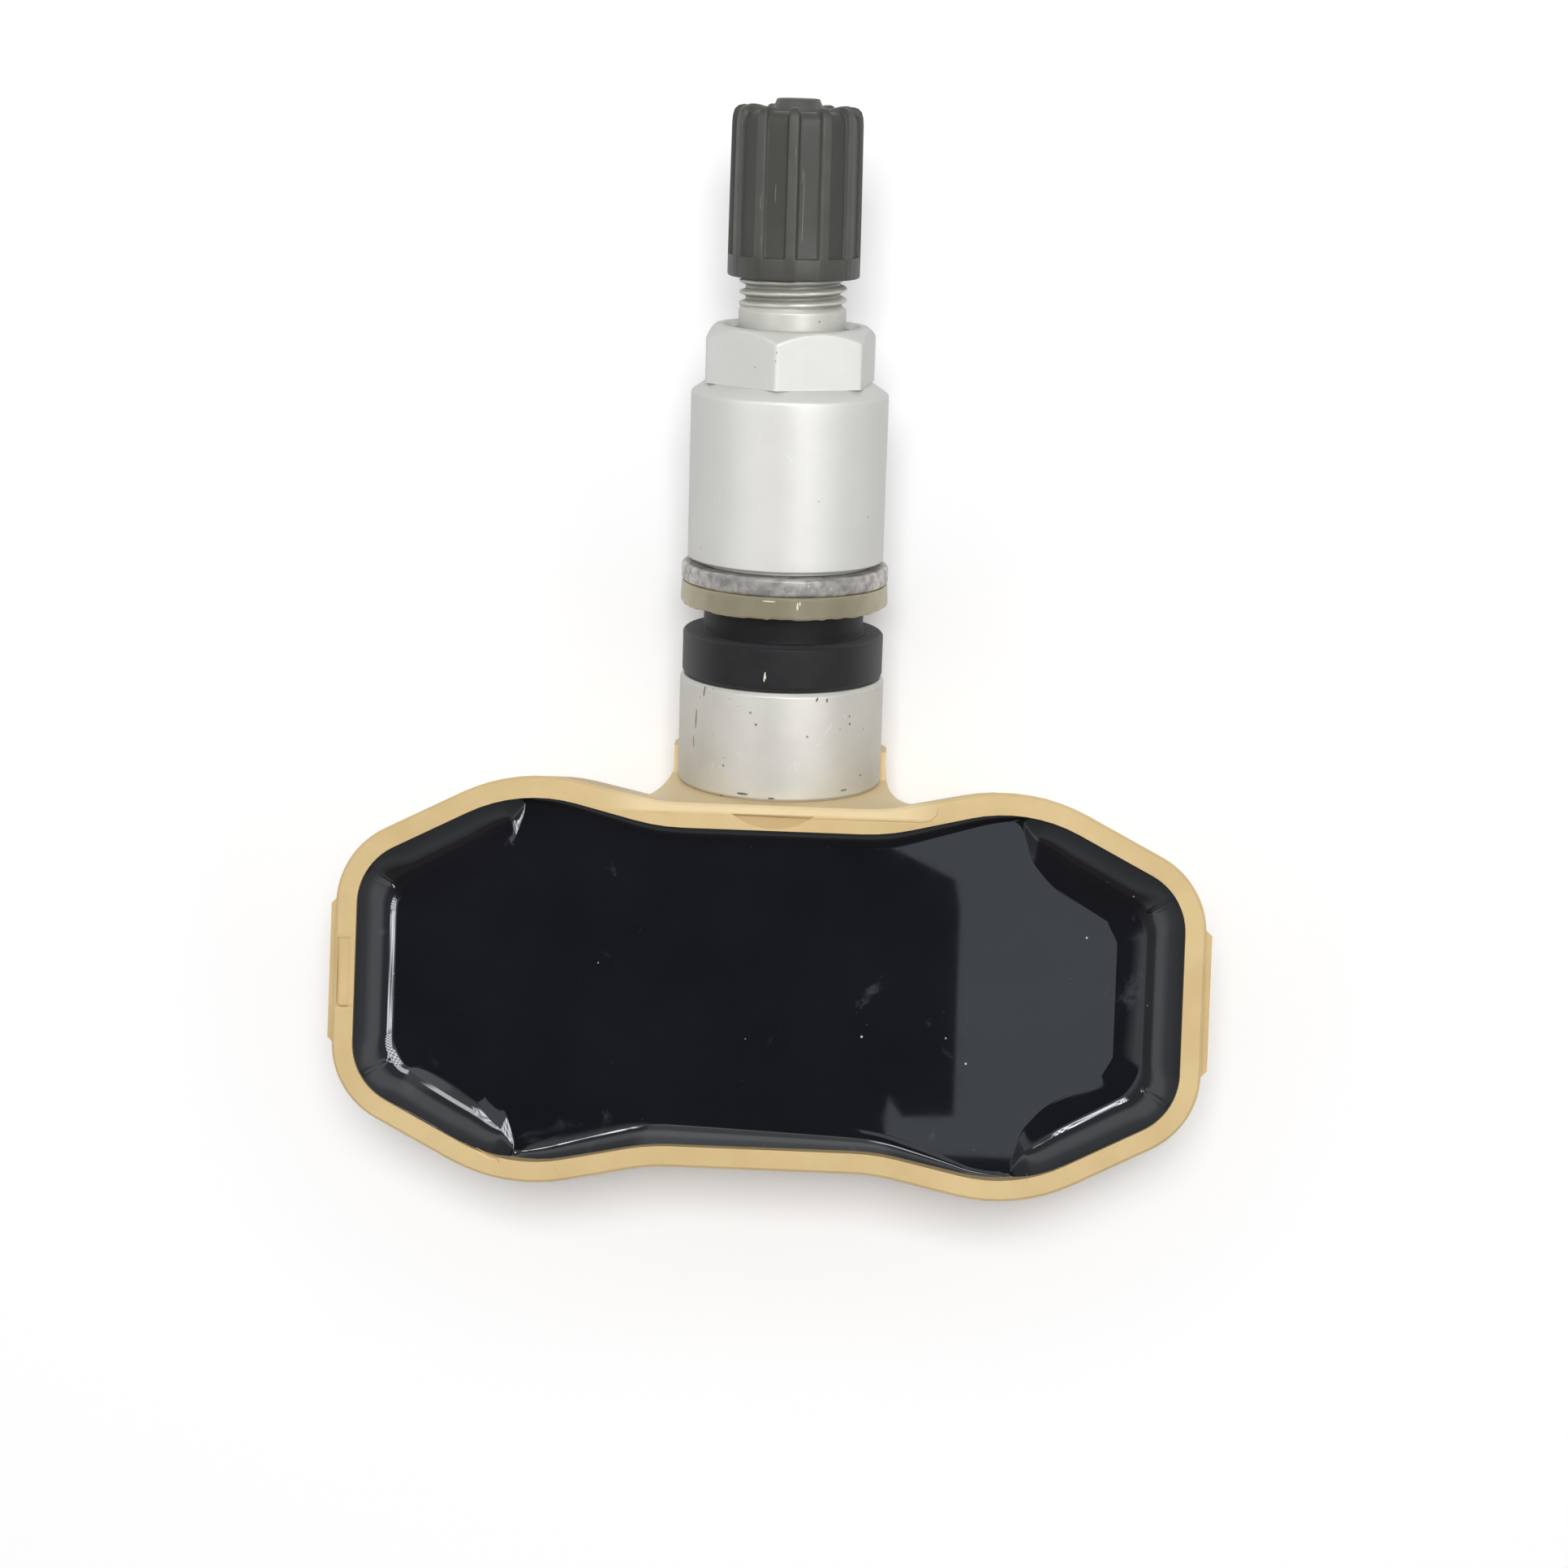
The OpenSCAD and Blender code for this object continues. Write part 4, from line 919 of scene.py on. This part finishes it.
# %% Metal washer
zinc = stem_finish("washer_zinc", ((204, 199, 192), (150, 148, 146)), 0.7, (0.36, 0.5), 0.1, 0.006,
                   metallic=0.6, spread=0.16, scratch=((226, 224, 218), (1, 1, 2), 0.3, 0.14),
                   dust=((236, 234, 228), 0.35, 0.14, 0.18))
# Painted shade: the washer is painted darker where it faces the eye.
paint_light_by_turn(zinc, 0.6, 0.1, 0.4, (138, 138, 140))
washer_side = rounded([(5.16, 15.01), (7.37, 15.01), (7.55, 15.19), (7.55, 16.16), (7.37, 16.34),
                       (5.16, 16.34)], [0.05, 0.15, 0.15, 0.15, 0.15, 0.05])
washer = turned_ring("plated_washer", washer_side, 0.3, ROUND, zinc, "washer",
                     "metal_washer")
print("metal washer faces:", len(washer.data.polygons))

# %% [markdown]
# The sleeve nut.
#
# The nut is a smooth sleeve with a small hexagon on top, plated and then lightly brushed by use.
# The hexagon's corners are crowned: the top was turned to a cone before the flats were cut, so
# each flat ends in an arc. That shape needs no boolean. At each angle the flat is at a known
# distance from the axis, the cone is at another, and a soft minimum of the two gives the wall,
# with its edges already rounded.

# %% Sleeve nut
SLEEVE_FOOT, SLEEVE_R, SLEEVE_LEN = 16.38, 7.15, 12.4
HEX_FLAT, HEX_FROM, HEX_TOP = 5.675, 13.15, 17.24
HEX_TURN = math.radians(22.7)
CROWN, CROWN_R = math.tan(math.radians(38)), 5.45


def soft_min(a, b, width):
    """The smaller of two values, with the step between them rounded over width."""
    share = np.clip(0.5 + 0.5 * (b - a) / width, 0, 1)
    return b + (a - b) * share - width * share * (1 - share)


def hexagon(r, z, a):
    """The wall of the hexagon above the sleeve: flats, worn corners and the cone of the crown."""
    turn = (a - HEX_TURN) % (math.pi / 3) - math.pi / 6
    flat = HEX_FLAT / np.cos(turn)
    worn = soft_min(flat, np.full_like(flat, HEX_FLAT / math.cos(math.pi / 6) - 0.03), 0.07)
    wall = soft_min(worn, CROWN_R + (HEX_TOP - z) / CROWN, 0.09)
    return np.where((z > HEX_FROM - 0.01) & (r > 5.5), wall, r), z


nut_side = (rounded([(5.15, 0), (6.4, 0), (6.4, 0.3), (7.03, 0.3), (SLEEVE_R, 0.42),
                     (SLEEVE_R, SLEEVE_LEN), (6.05, HEX_FROM), (5.6, HEX_FROM)],
                    [0, 0.05, 0.03, 0.1, 0.1, 0.35, 0.12, 0], closed=False)
            + [(5.6, 13.2 + 0.1 * k) for k in range(40)] + [(5.6, HEX_TOP - 0.03), (5.35, HEX_TOP)]
            + rounded([(5.35, HEX_TOP), (4.92, HEX_TOP), (4.53, HEX_TOP - 0.4), (4.53, 12.3),
                       (5.0, 12.3), (5.0, 0.5)], [0, 0.08, 0.1, 0, 0, 0], closed=False)[1:])
satin = stem_finish("nut_satin", ((230, 230, 226), (224, 224, 220)), 3.0, (0.42, 0.5), 0.1, 0.001,
                    metallic=0.3, spread=0.35, scratch=((250, 250, 247), (1, 1, 0.3), 0.7, 0.035),
                    dust=((150, 150, 146), 1.2, 0.09, 0.07))
# Painted shade: the sleeve and hexagon are painted darker towards their sides.
paint_light_by_turn(satin, 0.0, 0.6, 0.36, (156, 156, 152))
nut = turned_ring("crowned_nut", nut_side, 0.9, full_turn(432), satin, "nut",
                  "sleeve_nut", smooth=30, shape=hexagon, lift=SLEEVE_FOOT)
print("nut faces:", len(nut.data.polygons))

# %% [markdown]
# The cap.
#
# The cap is moulded in one piece with twelve grip ribs. Two profiles describe it: one down the
# middle of a groove and one down the top of a rib. They have the same number of points, so a share
# between 0 and 1 mixes them at each angle, and the ribs get soft sides and run out smoothly into
# the top. The floor of each groove is flat, like the side of a twelve-sided bar.

# %% Valve cap
CAP_FOOT, CAP_R = 37.07, 4.75
RIBS, FIRST_RIB, RIB_W, RIB_SIDE = 12, math.radians(268.7), 0.85, 0.24
groove_path = [(4.62, 0.0), (4.68, 0.03), (4.71, 0.13), (4.71, 1.42), (4.67, 1.52), (4.45, 1.56),
               (4.41, 1.66), (4.4, 4), (4.37, 8), (4.34, 10.6), (4.3, 11.1), (4.14, 11.42),
               (3.9, 11.6), (3.6, 11.65), (2.6, 11.65), (1.95, 11.65)]
rib_path = [(4.62, 0.0), (4.7, 0.03), (4.75, 0.13), (4.75, 1.42), (4.75, 1.52), (4.75, 1.56),
            (4.75, 1.66), (4.735, 4), (4.70, 8), (4.67, 10.75), (4.63, 11.25), (4.5, 11.66),
            (4.25, 11.9), (3.9, 11.99), (3.4, 11.95), (1.95, 11.65)]
boss_path = [(1.85, 11.67), (1.8, 11.75), (1.55, 12.4), (1.45, 12.48), (1.2, 12.5), (0, 12.5)]
bore = [(0, 10.75), (3.9, 10.75), (3.93, 10.72), (3.93, 0.4), (4.25, 0.03)]


def rib_share(a):
    """1 on top of a rib and 0 in a groove, and the angle from the middle of the rib."""
    away = np.abs((a - FIRST_RIB + math.pi / RIBS) % (2 * math.pi / RIBS) - math.pi / RIBS)
    edge = np.clip((RIB_W / 2 + 0.1 - away * CAP_R) / RIB_SIDE, 0, 1)
    return edge * edge * (3 - 2 * edge), away


def cap_surface():
    """Points and faces of the cap, with more steps across the sides of each rib."""
    offsets = np.array([0, .16, .28, .33, .37, .41, .45, .49, .54, .62, .8, 1.0, 1.243])
    offsets = np.concatenate([offsets, 2.487 - offsets[1:-1][::-1]]) / CAP_R
    angles = np.concatenate([FIRST_RIB + k * 2 * math.pi / RIBS + offsets for k in range(RIBS)])
    grooves = np.array(groove_path + boss_path)
    ribs = np.array(rib_path + boss_path)
    share, away = rib_share(angles)
    flat = 1 / np.cos(math.pi / RIBS - away)
    is_side = ((grooves[:, 0] > 4.1) & (grooves[:, 1] > 1.54))[:, None]
    radius = grooves[:, :1] * np.where(is_side, np.minimum(flat, 1.02), 1)
    r = radius + (ribs[:, :1] - radius) * share
    r = np.minimum(r, np.maximum(ribs[:, :1], grooves[:, :1]))
    z = grooves[:, 1:] + (ribs[:, 1:] - grooves[:, 1:]) * share
    inner = np.array(bore)[:, :, None] * np.ones(len(angles))
    r, z = np.vstack([inner[:, 0], r]), np.vstack([inner[:, 1], z])
    points = np.stack([r * np.cos(angles), r * np.sin(angles), z + CAP_FOOT], 2).reshape(-1, 3)
    return points, quads(*r.shape)


cap_grey = stem_finish("cap_plastic", ((81, 81, 76), (71, 71, 67)), 1.8, (0.42, 0.56), 0.1, 0.004,
                       spread=0.3, scratch=((122, 122, 116), (1, 1, 0.12), 0.35, 0.07),
                       dust=((150, 150, 144), 0.6, 0.06, 0.1))
tree = cap_grey.node_tree
_, _, z, from_axis = own_place(tree, True)
# Painted shade: the grooves between the ribs are painted darker.
painted_groove_shade = product(tree, ramp(tree, from_axis, 4.66 * MM, 4.46 * MM),
                    ramp(tree, from_axis, 3.2 * MM, 4.1 * MM))
overlay(cap_grey, product(tree, painted_groove_shade, 0.75), (54, 54, 51))
on_skirt = ramp(tree, z, (CAP_FOOT + 1.7) * MM, (CAP_FOOT + 1.5) * MM)
overlay(cap_grey, product(tree, on_skirt, 0.45), (58, 58, 54))
points, faces = cap_surface()
cap = new_piece("ribbed_cap", points, faces, cap_grey, "cap", ("valve_cap",), STEM,
                55)
print("cap faces:", len(cap.data.polygons))

# %% [markdown]
# Wear and painted glints on the stem.
#
# A used part is never clean. The foot has short dark nicks and fine bright hairlines, the rubber
# has one white nick, and the cap has a long pale scratch. The washers have two glints, which are
# painted highlights, in the same pale material as the rubber's nick. Each is a flat lens of mesh, a
# few hundredths of a millimetre high, laid on the round surface and sunk a little into it.

# %% Flecks
LENS = 12


def flecks(name, radius, marks, material, body):
    """Lenses on a cylinder about the stem. A mark is station, bearing, length, width and turn."""
    points, faces = [], []
    for station, bearing, length, width, turn in marks:
        first, turned = len(points), math.radians(turn)
        for lift, scale in ((-0.03, 1.0), (0.012, 1.0), (0.02, 0.5)):
            for t in full_turn(LENS):
                along = math.cos(t) * length / 2 * scale
                across = math.sin(t) * width / 2 * scale
                up = along * math.cos(turned) - across * math.sin(turned)
                round_by = (along * math.sin(turned) + across * math.cos(turned)) / radius
                a, r = math.radians(bearing) + round_by, radius + lift
                points.append((r * math.cos(a), r * math.sin(a), station + up))
        faces += [tuple(first + i for i in face) for face in quads(3, LENS)]
        faces += [tuple(range(first, first + LENS))[::-1],
                  tuple(range(first + 2 * LENS, first + 3 * LENS))]
    return new_piece(name, points, faces, material, body, (), STEM, 60)


def mark_finish(name, tones, rough, bump, dust, metallic=0.0):
    return stem_finish(name, tones, 0.3, rough, 0.05, bump, metallic, dust=(dust, 0.2, 0.1, 0.14))


dirt = mark_finish("nick_dirt", ((120, 116, 108), (96, 92, 86)), (0.6, 0.75), 0.002,
                   (150, 146, 138))
hairline = mark_finish("bright_scratch", ((246, 246, 243), (232, 232, 228)), (0.3, 0.42), 0.001,
                       (210, 210, 206), metallic=0.4)
# Pale colour of the rubber's white nick, and painted highlight for the washer's glints.
nick_and_glint = mark_finish("white_nick_and_painted_glint", ((238, 234, 216), (222, 217, 194)), (0.25, 0.4), 0.001,
                    (200, 194, 168))
cap_scratch = mark_finish("cap_scratch", ((138, 138, 132), (120, 120, 114)), (0.4, 0.52), 0.002,
                          (160, 160, 154))
chance = random.Random(19)
FOOT_NICKS = [(5.35, -143, 1.5, 0.12, 4), (7.55, -136, 0.8, 0.12, 10), (5.7, -101.6, 0.2, 0.16, 0),
              (0.5, -108.4, 0.9, 0.18, 90), (0.32, -92, 0.5, 0.14, 90), (0.7, -49, 0.6, 0.12, 90),
              (7.6, -68, 0.35, 0.14, 20), (7.5, -62, 0.3, 0.16, 0), (3.6, -145, 0.9, 0.08, -8)]
FOOT_NICKS += [(chance.uniform(0.8, 7.4), chance.uniform(-155, -25), chance.uniform(0.07, 0.16),
                chance.uniform(0.05, 0.09), chance.uniform(0, 180)) for _ in range(4)]
flecks("foot_nicks", BASE_R, FOOT_NICKS, dirt, "root")
flecks("foot_hairlines", BASE_R,
       [(5.4, -60.4, 1.1, 0.05, 38), (2.7, -79, 0.8, 0.045, -25), (2.2, -128, 0.9, 0.04, 15),
        (4.3, -66, 0.7, 0.04, 60), (6.2, -50, 0.6, 0.05, -35), (3.4, -112, 0.5, 0.04, 70)],
       hairline, "root")
flecks("seal_nick", SEAL_R, [(9.2, -97.7, 0.75, 0.12, 6), (9.25, -97.3, 0.4, 0.08, -14)], nick_and_glint,
       "root")
# Painted highlights: the glints on the nylon washer.
flecks("nylon_glints", 7.54,
       [(14.72, -96.2, 0.09, 1.0, 0), (14.3, -80.7, 0.8, 0.14, 0), (13.8, -80.2, 0.3, 0.2, 0),
        (14.6, -79.4, 0.3, 0.12, 0)], nick_and_glint, "root")
flecks("sleeve_hairlines", SLEEVE_R,
       [(24.9, -87, 0.9, 0.045, -32), (21.7, -130, 0.8, 0.04, 12), (19.2, -72, 0.5, 0.035, 55),
        (26.4, -112, 0.4, 0.035, -60)], hairline, "nut")
flecks("hex_nicks", 6.49, [(32.2, -97.3, 0.32, 0.1, 10), (31.6, -97.5, 0.24, 0.09, -20)], dirt,
       "nut")
flecks("cap_hairlines", 4.41,
       [(42.2, -81, 5.2, 0.05, 0.6), (40.9, -83.5, 1.6, 0.05, -1), (44.4, -82.4, 1.2, 0.04, 2),
        (43.1, -107, 1.4, 0.04, 1)], cap_scratch, "cap")
print("nicks on the foot:", len(FOOT_NICKS))

# %% [markdown]
# What the resin hides.
#
# The battery, the board and its parts are under the resin and never seen, but the model can be
# taken apart, so each has the finish of its own material. Their solids are right as they are, so
# only the material slots change.

# %% Finishes of the inner parts
laminate = finish("board_laminate", ((26, 92, 62), (20, 76, 52)), 2.0, (0.3, 0.42), 0.2, 0.004,
                  scratch=((38, 112, 78), (1, 1, 1), 0.6, 0.12))
can = finish("cell_can", ((206, 206, 204), (192, 192, 190)), 3.0, (0.24, 0.34), 0.12, 0.001,
             metallic=1.0, scratch=((232, 232, 230), (0.2, 1, 1), 0.5, 0.08))
strip = finish("contact_strip", ((208, 202, 186), (192, 186, 170)), 1.0, (0.28, 0.4), 0.1, 0.001,
               metallic=1.0, scratch=((236, 232, 220), (0.1, 1, 1), 0.4, 0.1))
chip = finish("chip_body", ((44, 44, 46), (34, 34, 36)), 0.8, (0.5, 0.64), 0.06, 0.004,
              dust=((84, 84, 86), 0.3, 0.1, 0.12))
port = finish("port_rubber", ((72, 66, 60), (60, 55, 50)), 0.9, (0.55, 0.7), 0.08, 0.006,
              dust=((120, 114, 106), 0.4, 0.08, 0.1))
membrane = finish("filter_membrane", ((232, 232, 228), (216, 216, 212)), 0.3, (0.7, 0.85), 0.05,
                  0.01, dust=((190, 190, 186), 0.15, 0.2, 0.14))
crystal = finish("crystal_can", ((212, 210, 200), (196, 194, 184)), 1.2, (0.2, 0.3), 0.1, 0.001,
                 metallic=1.0, scratch=((236, 234, 226), (1, 0.1, 1), 0.4, 0.08))
ferrite = finish("coil_ferrite", ((66, 60, 58), (52, 47, 46)), 0.7, (0.5, 0.66), 0.07, 0.008,
                 dust=((116, 108, 104), 0.25, 0.1, 0.12))
ceramic = finish("capacitor_body", ((176, 140, 98), (156, 122, 84)), 0.6, (0.36, 0.48), 0.07,
                 0.003, dust=((208, 180, 142), 0.2, 0.1, 0.12))
copper = finish("antenna_strip", ((196, 138, 92), (178, 122, 80)), 1.2, (0.26, 0.38), 0.1, 0.001,
                metallic=1.0, scratch=((226, 180, 140), (0.1, 1, 1), 0.4, 0.1))
INNER = {"circuit_board": laminate, "battery": can, "battery_top_strip": strip,
         "battery_bottom_strip": strip, "pressure_sensor": chip, "transmitter_chip": chip,
         "motion_chip": chip, "port_seal": port, "port_filter": membrane, "crystal": crystal,
         "wake_up_coil": ferrite, "capacitors": ceramic, "antenna": copper}
for node, material in INNER.items():
    repaint(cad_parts[node].data, material)
print("inner parts painted:", len(INNER))

# %% [markdown]
# The valve core.
#
# With the cap off, the end of the stem shows the core: a brass barrel with a plastic gasket and a
# pin in the middle, with its spring and rubber plunger further down. The solids are small and
# right, so each takes a copy with softened edges where it shows.

# %% Valve core and cap seal
brass = stem_finish("core_brass", ((206, 176, 112), (186, 156, 94)), 1.0, (0.24, 0.36), 0.08,
                    0.001, metallic=1.0, scratch=((232, 208, 152), (1, 1, 0.15), 0.3, 0.08))
gasket = stem_finish("core_gasket_plastic", ((196, 72, 58), (178, 62, 50)), 0.8, (0.36, 0.5), 0.07,
                     0.003, dust=((222, 120, 104), 0.3, 0.08, 0.1))
soft_black = stem_finish("core_rubber", ((48, 48, 50), (38, 38, 40)), 0.8, (0.55, 0.7), 0.07,
                         0.005, dust=((96, 96, 98), 0.3, 0.08, 0.1))
spring = stem_finish("spring_steel", ((188, 188, 188), (170, 170, 170)), 0.6, (0.24, 0.34), 0.06,
                     0.001, metallic=1.0, scratch=((222, 222, 222), (1, 1, 0.3), 0.2, 0.08))
repaint(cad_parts["core_plunger"].data, soft_black)
repaint(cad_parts["core_gasket"].data, gasket)
barrel = dressed("core_barrel", brass, "root")
pin = dressed("core_pin", brass, "core_pin")
cap_liner = dressed("cap_seal", soft_black, "cap_seal")
print("faces of barrel, pin and seal:", *[len(p.data.polygons) for p in (barrel, pin, cap_liner)])

# %% The spring
coil = dressed("core_spring", spring, "root", bevel=0)
foot = STEM.to_translation()
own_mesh(coil)

# %% [markdown]
# Floor and light.
#
# The sensor lies on a white sheet under soft studio light. The floor is plain and pale and keeps
# the shadow. A little light of its own, for the camera only, brings it up to white, so that no
# lamp has to be turned up on the object. The bright surroundings are in the world: dark straight
# above, where the camera is, with rings of soft light around it. The resin is a black mirror, and
# those rings are what it shows along its hollow edge.

# %% Floor
FLOOR_HALF, FLOOR_DROP, FLOOR_GLOW = 2.0, 0.05, 0.1


def shown_white(tree, for_camera, for_gloss):
    """Strength of the floor's own light by kind of ray. Rays that light the object get none."""
    seen = add(tree, "ShaderNodeLightPath").outputs
    gloss = maths(tree, "MAXIMUM", seen["Is Glossy Ray"], seen["Is Transmission Ray"])
    return maths(tree, "ADD", product(tree, seen["Is Camera Ray"], for_camera),
                 product(tree, gloss, for_gloss))


def own_light(name, base, light):
    """A material with a colour and a light of its own, and its shader node."""
    material = bpy.data.materials.new(name)
    material.use_nodes = True
    shader = material.node_tree.nodes["Principled BSDF"]
    shader.inputs["Base Color"].default_value = (*base, 1)
    shader.inputs["Emission Color"].default_value = (*light, 1)
    return material, shader


sheet = bpy.data.meshes.new("white_sheet")
with editing(sheet) as bm:
    bmesh.ops.create_grid(bm, x_segments=2, y_segments=2, size=FLOOR_HALF)
floor = bpy.data.objects.new("white_sheet", sheet)
floor.location = (0, 0, -FLOOR_DROP * MM)
scene.collection.objects.link(floor)
paper, shader = own_light("white_paper", (0.84, 0.845, 0.855), (1, 1, 1))
shader.inputs["Roughness"].default_value = 0.9
shader.inputs["Specular IOR Level"].default_value = 0.1
tree = paper.node_tree
tree.links.new(shown_white(tree, FLOOR_GLOW, 0.0), shader.inputs["Emission Strength"])
sheet.materials.append(paper)
print("floor is", floor.dimensions.x, "m wide")

# %% World
SKY = [(0, 0.02), (11, 0.02), (13, 1.1), (20.5, 1.15), (22, 0.55), (27, 0.4), (35, 0.45), (40, 1.7),
       (46, 1.7), (51, 0.85), (60, 0.55), (72, 0.42), (90, 0.42)]
SKY_TOP = 4.0
BEADED_RING, BRIGHT_RING = (15.0, 26.0), (20.0, 26.0)
world = bpy.data.worlds.new("soft_studio")
scene.world = world
world.use_nodes = True
tree = world.node_tree
background = tree.nodes["Background"]
direction = add(tree, "ShaderNodeTexCoord").outputs["Generated"]
parts = add(tree, "ShaderNodeSeparateXYZ", {0: direction}).outputs
from_top = maths(tree, "ARCCOSINE", maths(tree, "MINIMUM", parts["Z"], 1.0))
degrees = product(tree, from_top, 180 / math.pi)
sky = add(tree, "ShaderNodeValToRGB", {"Fac": maths(tree, "DIVIDE", degrees, 90.0)})
stops = sky.color_ramp.elements
stops.remove(stops[1])
for angle, strength in SKY:
    stop = stops[0] if angle == 0 else stops.new(angle / 90)
    stop.color = (*[strength / SKY_TOP] * 3, 1)
level = product(tree, sky.outputs["Color"], SKY_TOP)
print("sky stops:", len(SKY))

# %% Dim side and ring lamps
BELT_SOFT, ARC_SOFT = 0.6, 4.0


def window(tree, value, start, rise, fall, end):
    """1 between rise and fall, 0 outside start and end."""
    return product(tree, ramp(tree, value, start, rise), ramp(tree, value, end, fall))


def soft_window(value, start, end, soft):
    return window(tree, value, start - soft, start + soft, end - soft, end + soft)


def ring(span, start, end, power):
    """Light from a ring of small lamps between two angles from the top and two bearings."""
    belt = soft_window(degrees, *span, BELT_SOFT)
    return product(tree, belt, soft_window(bearing, start, end, ARC_SOFT), power)


def waves(value, period):
    return maths(tree, "SINE", product(tree, value, 2 * math.pi / period))


DIM_SIDE = (-150.0, -125.0, -50.0, -28.0)
bearing = product(tree, maths(tree, "ARCTAN2", parts["Y"], parts["X"]), 180 / math.pi)
dim = product(tree, window(tree, bearing, *DIM_SIDE), window(tree, degrees, 8.0, 12.0, 46.0, 54.0))
beads = maths(tree, "ADD", 0.6, product(tree, waves(bearing, 5.0), waves(degrees, 6.0), 0.6))
glow = product(tree, beads, ring(BEADED_RING, -36.0, 40.0, 18.0))
for lamps in (ring(BRIGHT_RING, 40.0, 78.0, 11.0),
              product(tree, beads, ring(BRIGHT_RING, 117.0, 134.0, 28.0)),
              ring((12.6, 62.0), 74.0, 108.0, 0.7)):
    glow = maths(tree, "ADD", glow, lamps)
dark_side = product(tree, window(tree, bearing, *DIM_SIDE),
                    window(tree, degrees, 8.0, 12.0, 20.0, 24.0))
level = product(tree, level, maths(tree, "SUBTRACT", 1.0, product(tree, dark_side, 0.85)))
tint = blend_colours(tree, dim, (1, 1, 1, 1), (0.16, 0.1, 0.09, 1))
tree.links.new(tint, background.inputs["Color"])
seen = add(tree, "ShaderNodeLightPath").outputs
mirrored = product(tree, maths(tree, "ADD", level, glow), 0.93, seen["Is Glossy Ray"])
spread_out = product(tree, level, 0.72, maths(tree, "SUBTRACT", 1.0, seen["Is Glossy Ray"]))
strength = maths(tree, "MAXIMUM", maths(tree, "ADD", mirrored, spread_out), seen["Is Camera Ray"])
tree.links.new(strength, background.inputs["Strength"])
print("ring lamps between", BEADED_RING, "and", BRIGHT_RING, "degrees from straight up")

# %% [markdown]
# The reflected card.
#
# The right third of the resin mirrors a pale card held beside the camera, with the dark edge of
# the camera beside it. A mirror shows each point of its surroundings where the angles match, so
# the corners of the card come from the camera's place and the resin's level. The card lights
# nothing and is only seen in mirrors.

# %% Card
CARD_HEIGHT = 240
CARD = [(7.5, 1.0), (18.3, -4.0), (19.0, -8.0), (19.2, -37.4), (12.0, -37.8), (10.6, -36.0),
        (9.9, -34.8), (9.4, -38.5), (10.0, -43.0), (42.0, -43.0), (42.0, 14.0), (12.0, 14.0)]
card_mesh = bpy.data.meshes.new("reflected_card")
card_mesh.from_pydata([(x * MM, y * MM, CARD_HEIGHT * MM) for x, y in CARD], [],
                      [tuple(range(len(CARD)))])
card = bpy.data.objects.new("reflected_card", card_mesh)
scene.collection.objects.link(card)
card.visible_camera = card.visible_diffuse = card.visible_shadow = card.visible_transmission = False
card_light, shader = own_light("card_light", (0, 0, 0), (0.88, 0.93, 1))
shader.inputs["Emission Strength"].default_value = 1.25
card_mesh.materials.append(card_light)
print("card corners:", len(CARD))

# %% Lamp
LAMP_AT, LAMP_AIM, LAMP_WATTS = Vector((15, 110, 560)), Vector((0, 15, 5)), 2.15
lamp = bpy.data.lights.new("key", "AREA")
lamp.shape = "RECTANGLE"
lamp.size, lamp.size_y = 180 * MM, 160 * MM
lamp.energy = LAMP_WATTS
holder = bpy.data.objects.new("key", lamp)
holder.location = LAMP_AT * MM
holder.rotation_euler = (LAMP_AIM - LAMP_AT).to_track_quat("-Z", "Y").to_euler()
holder.visible_camera = holder.visible_glossy = False
scene.collection.objects.link(holder)
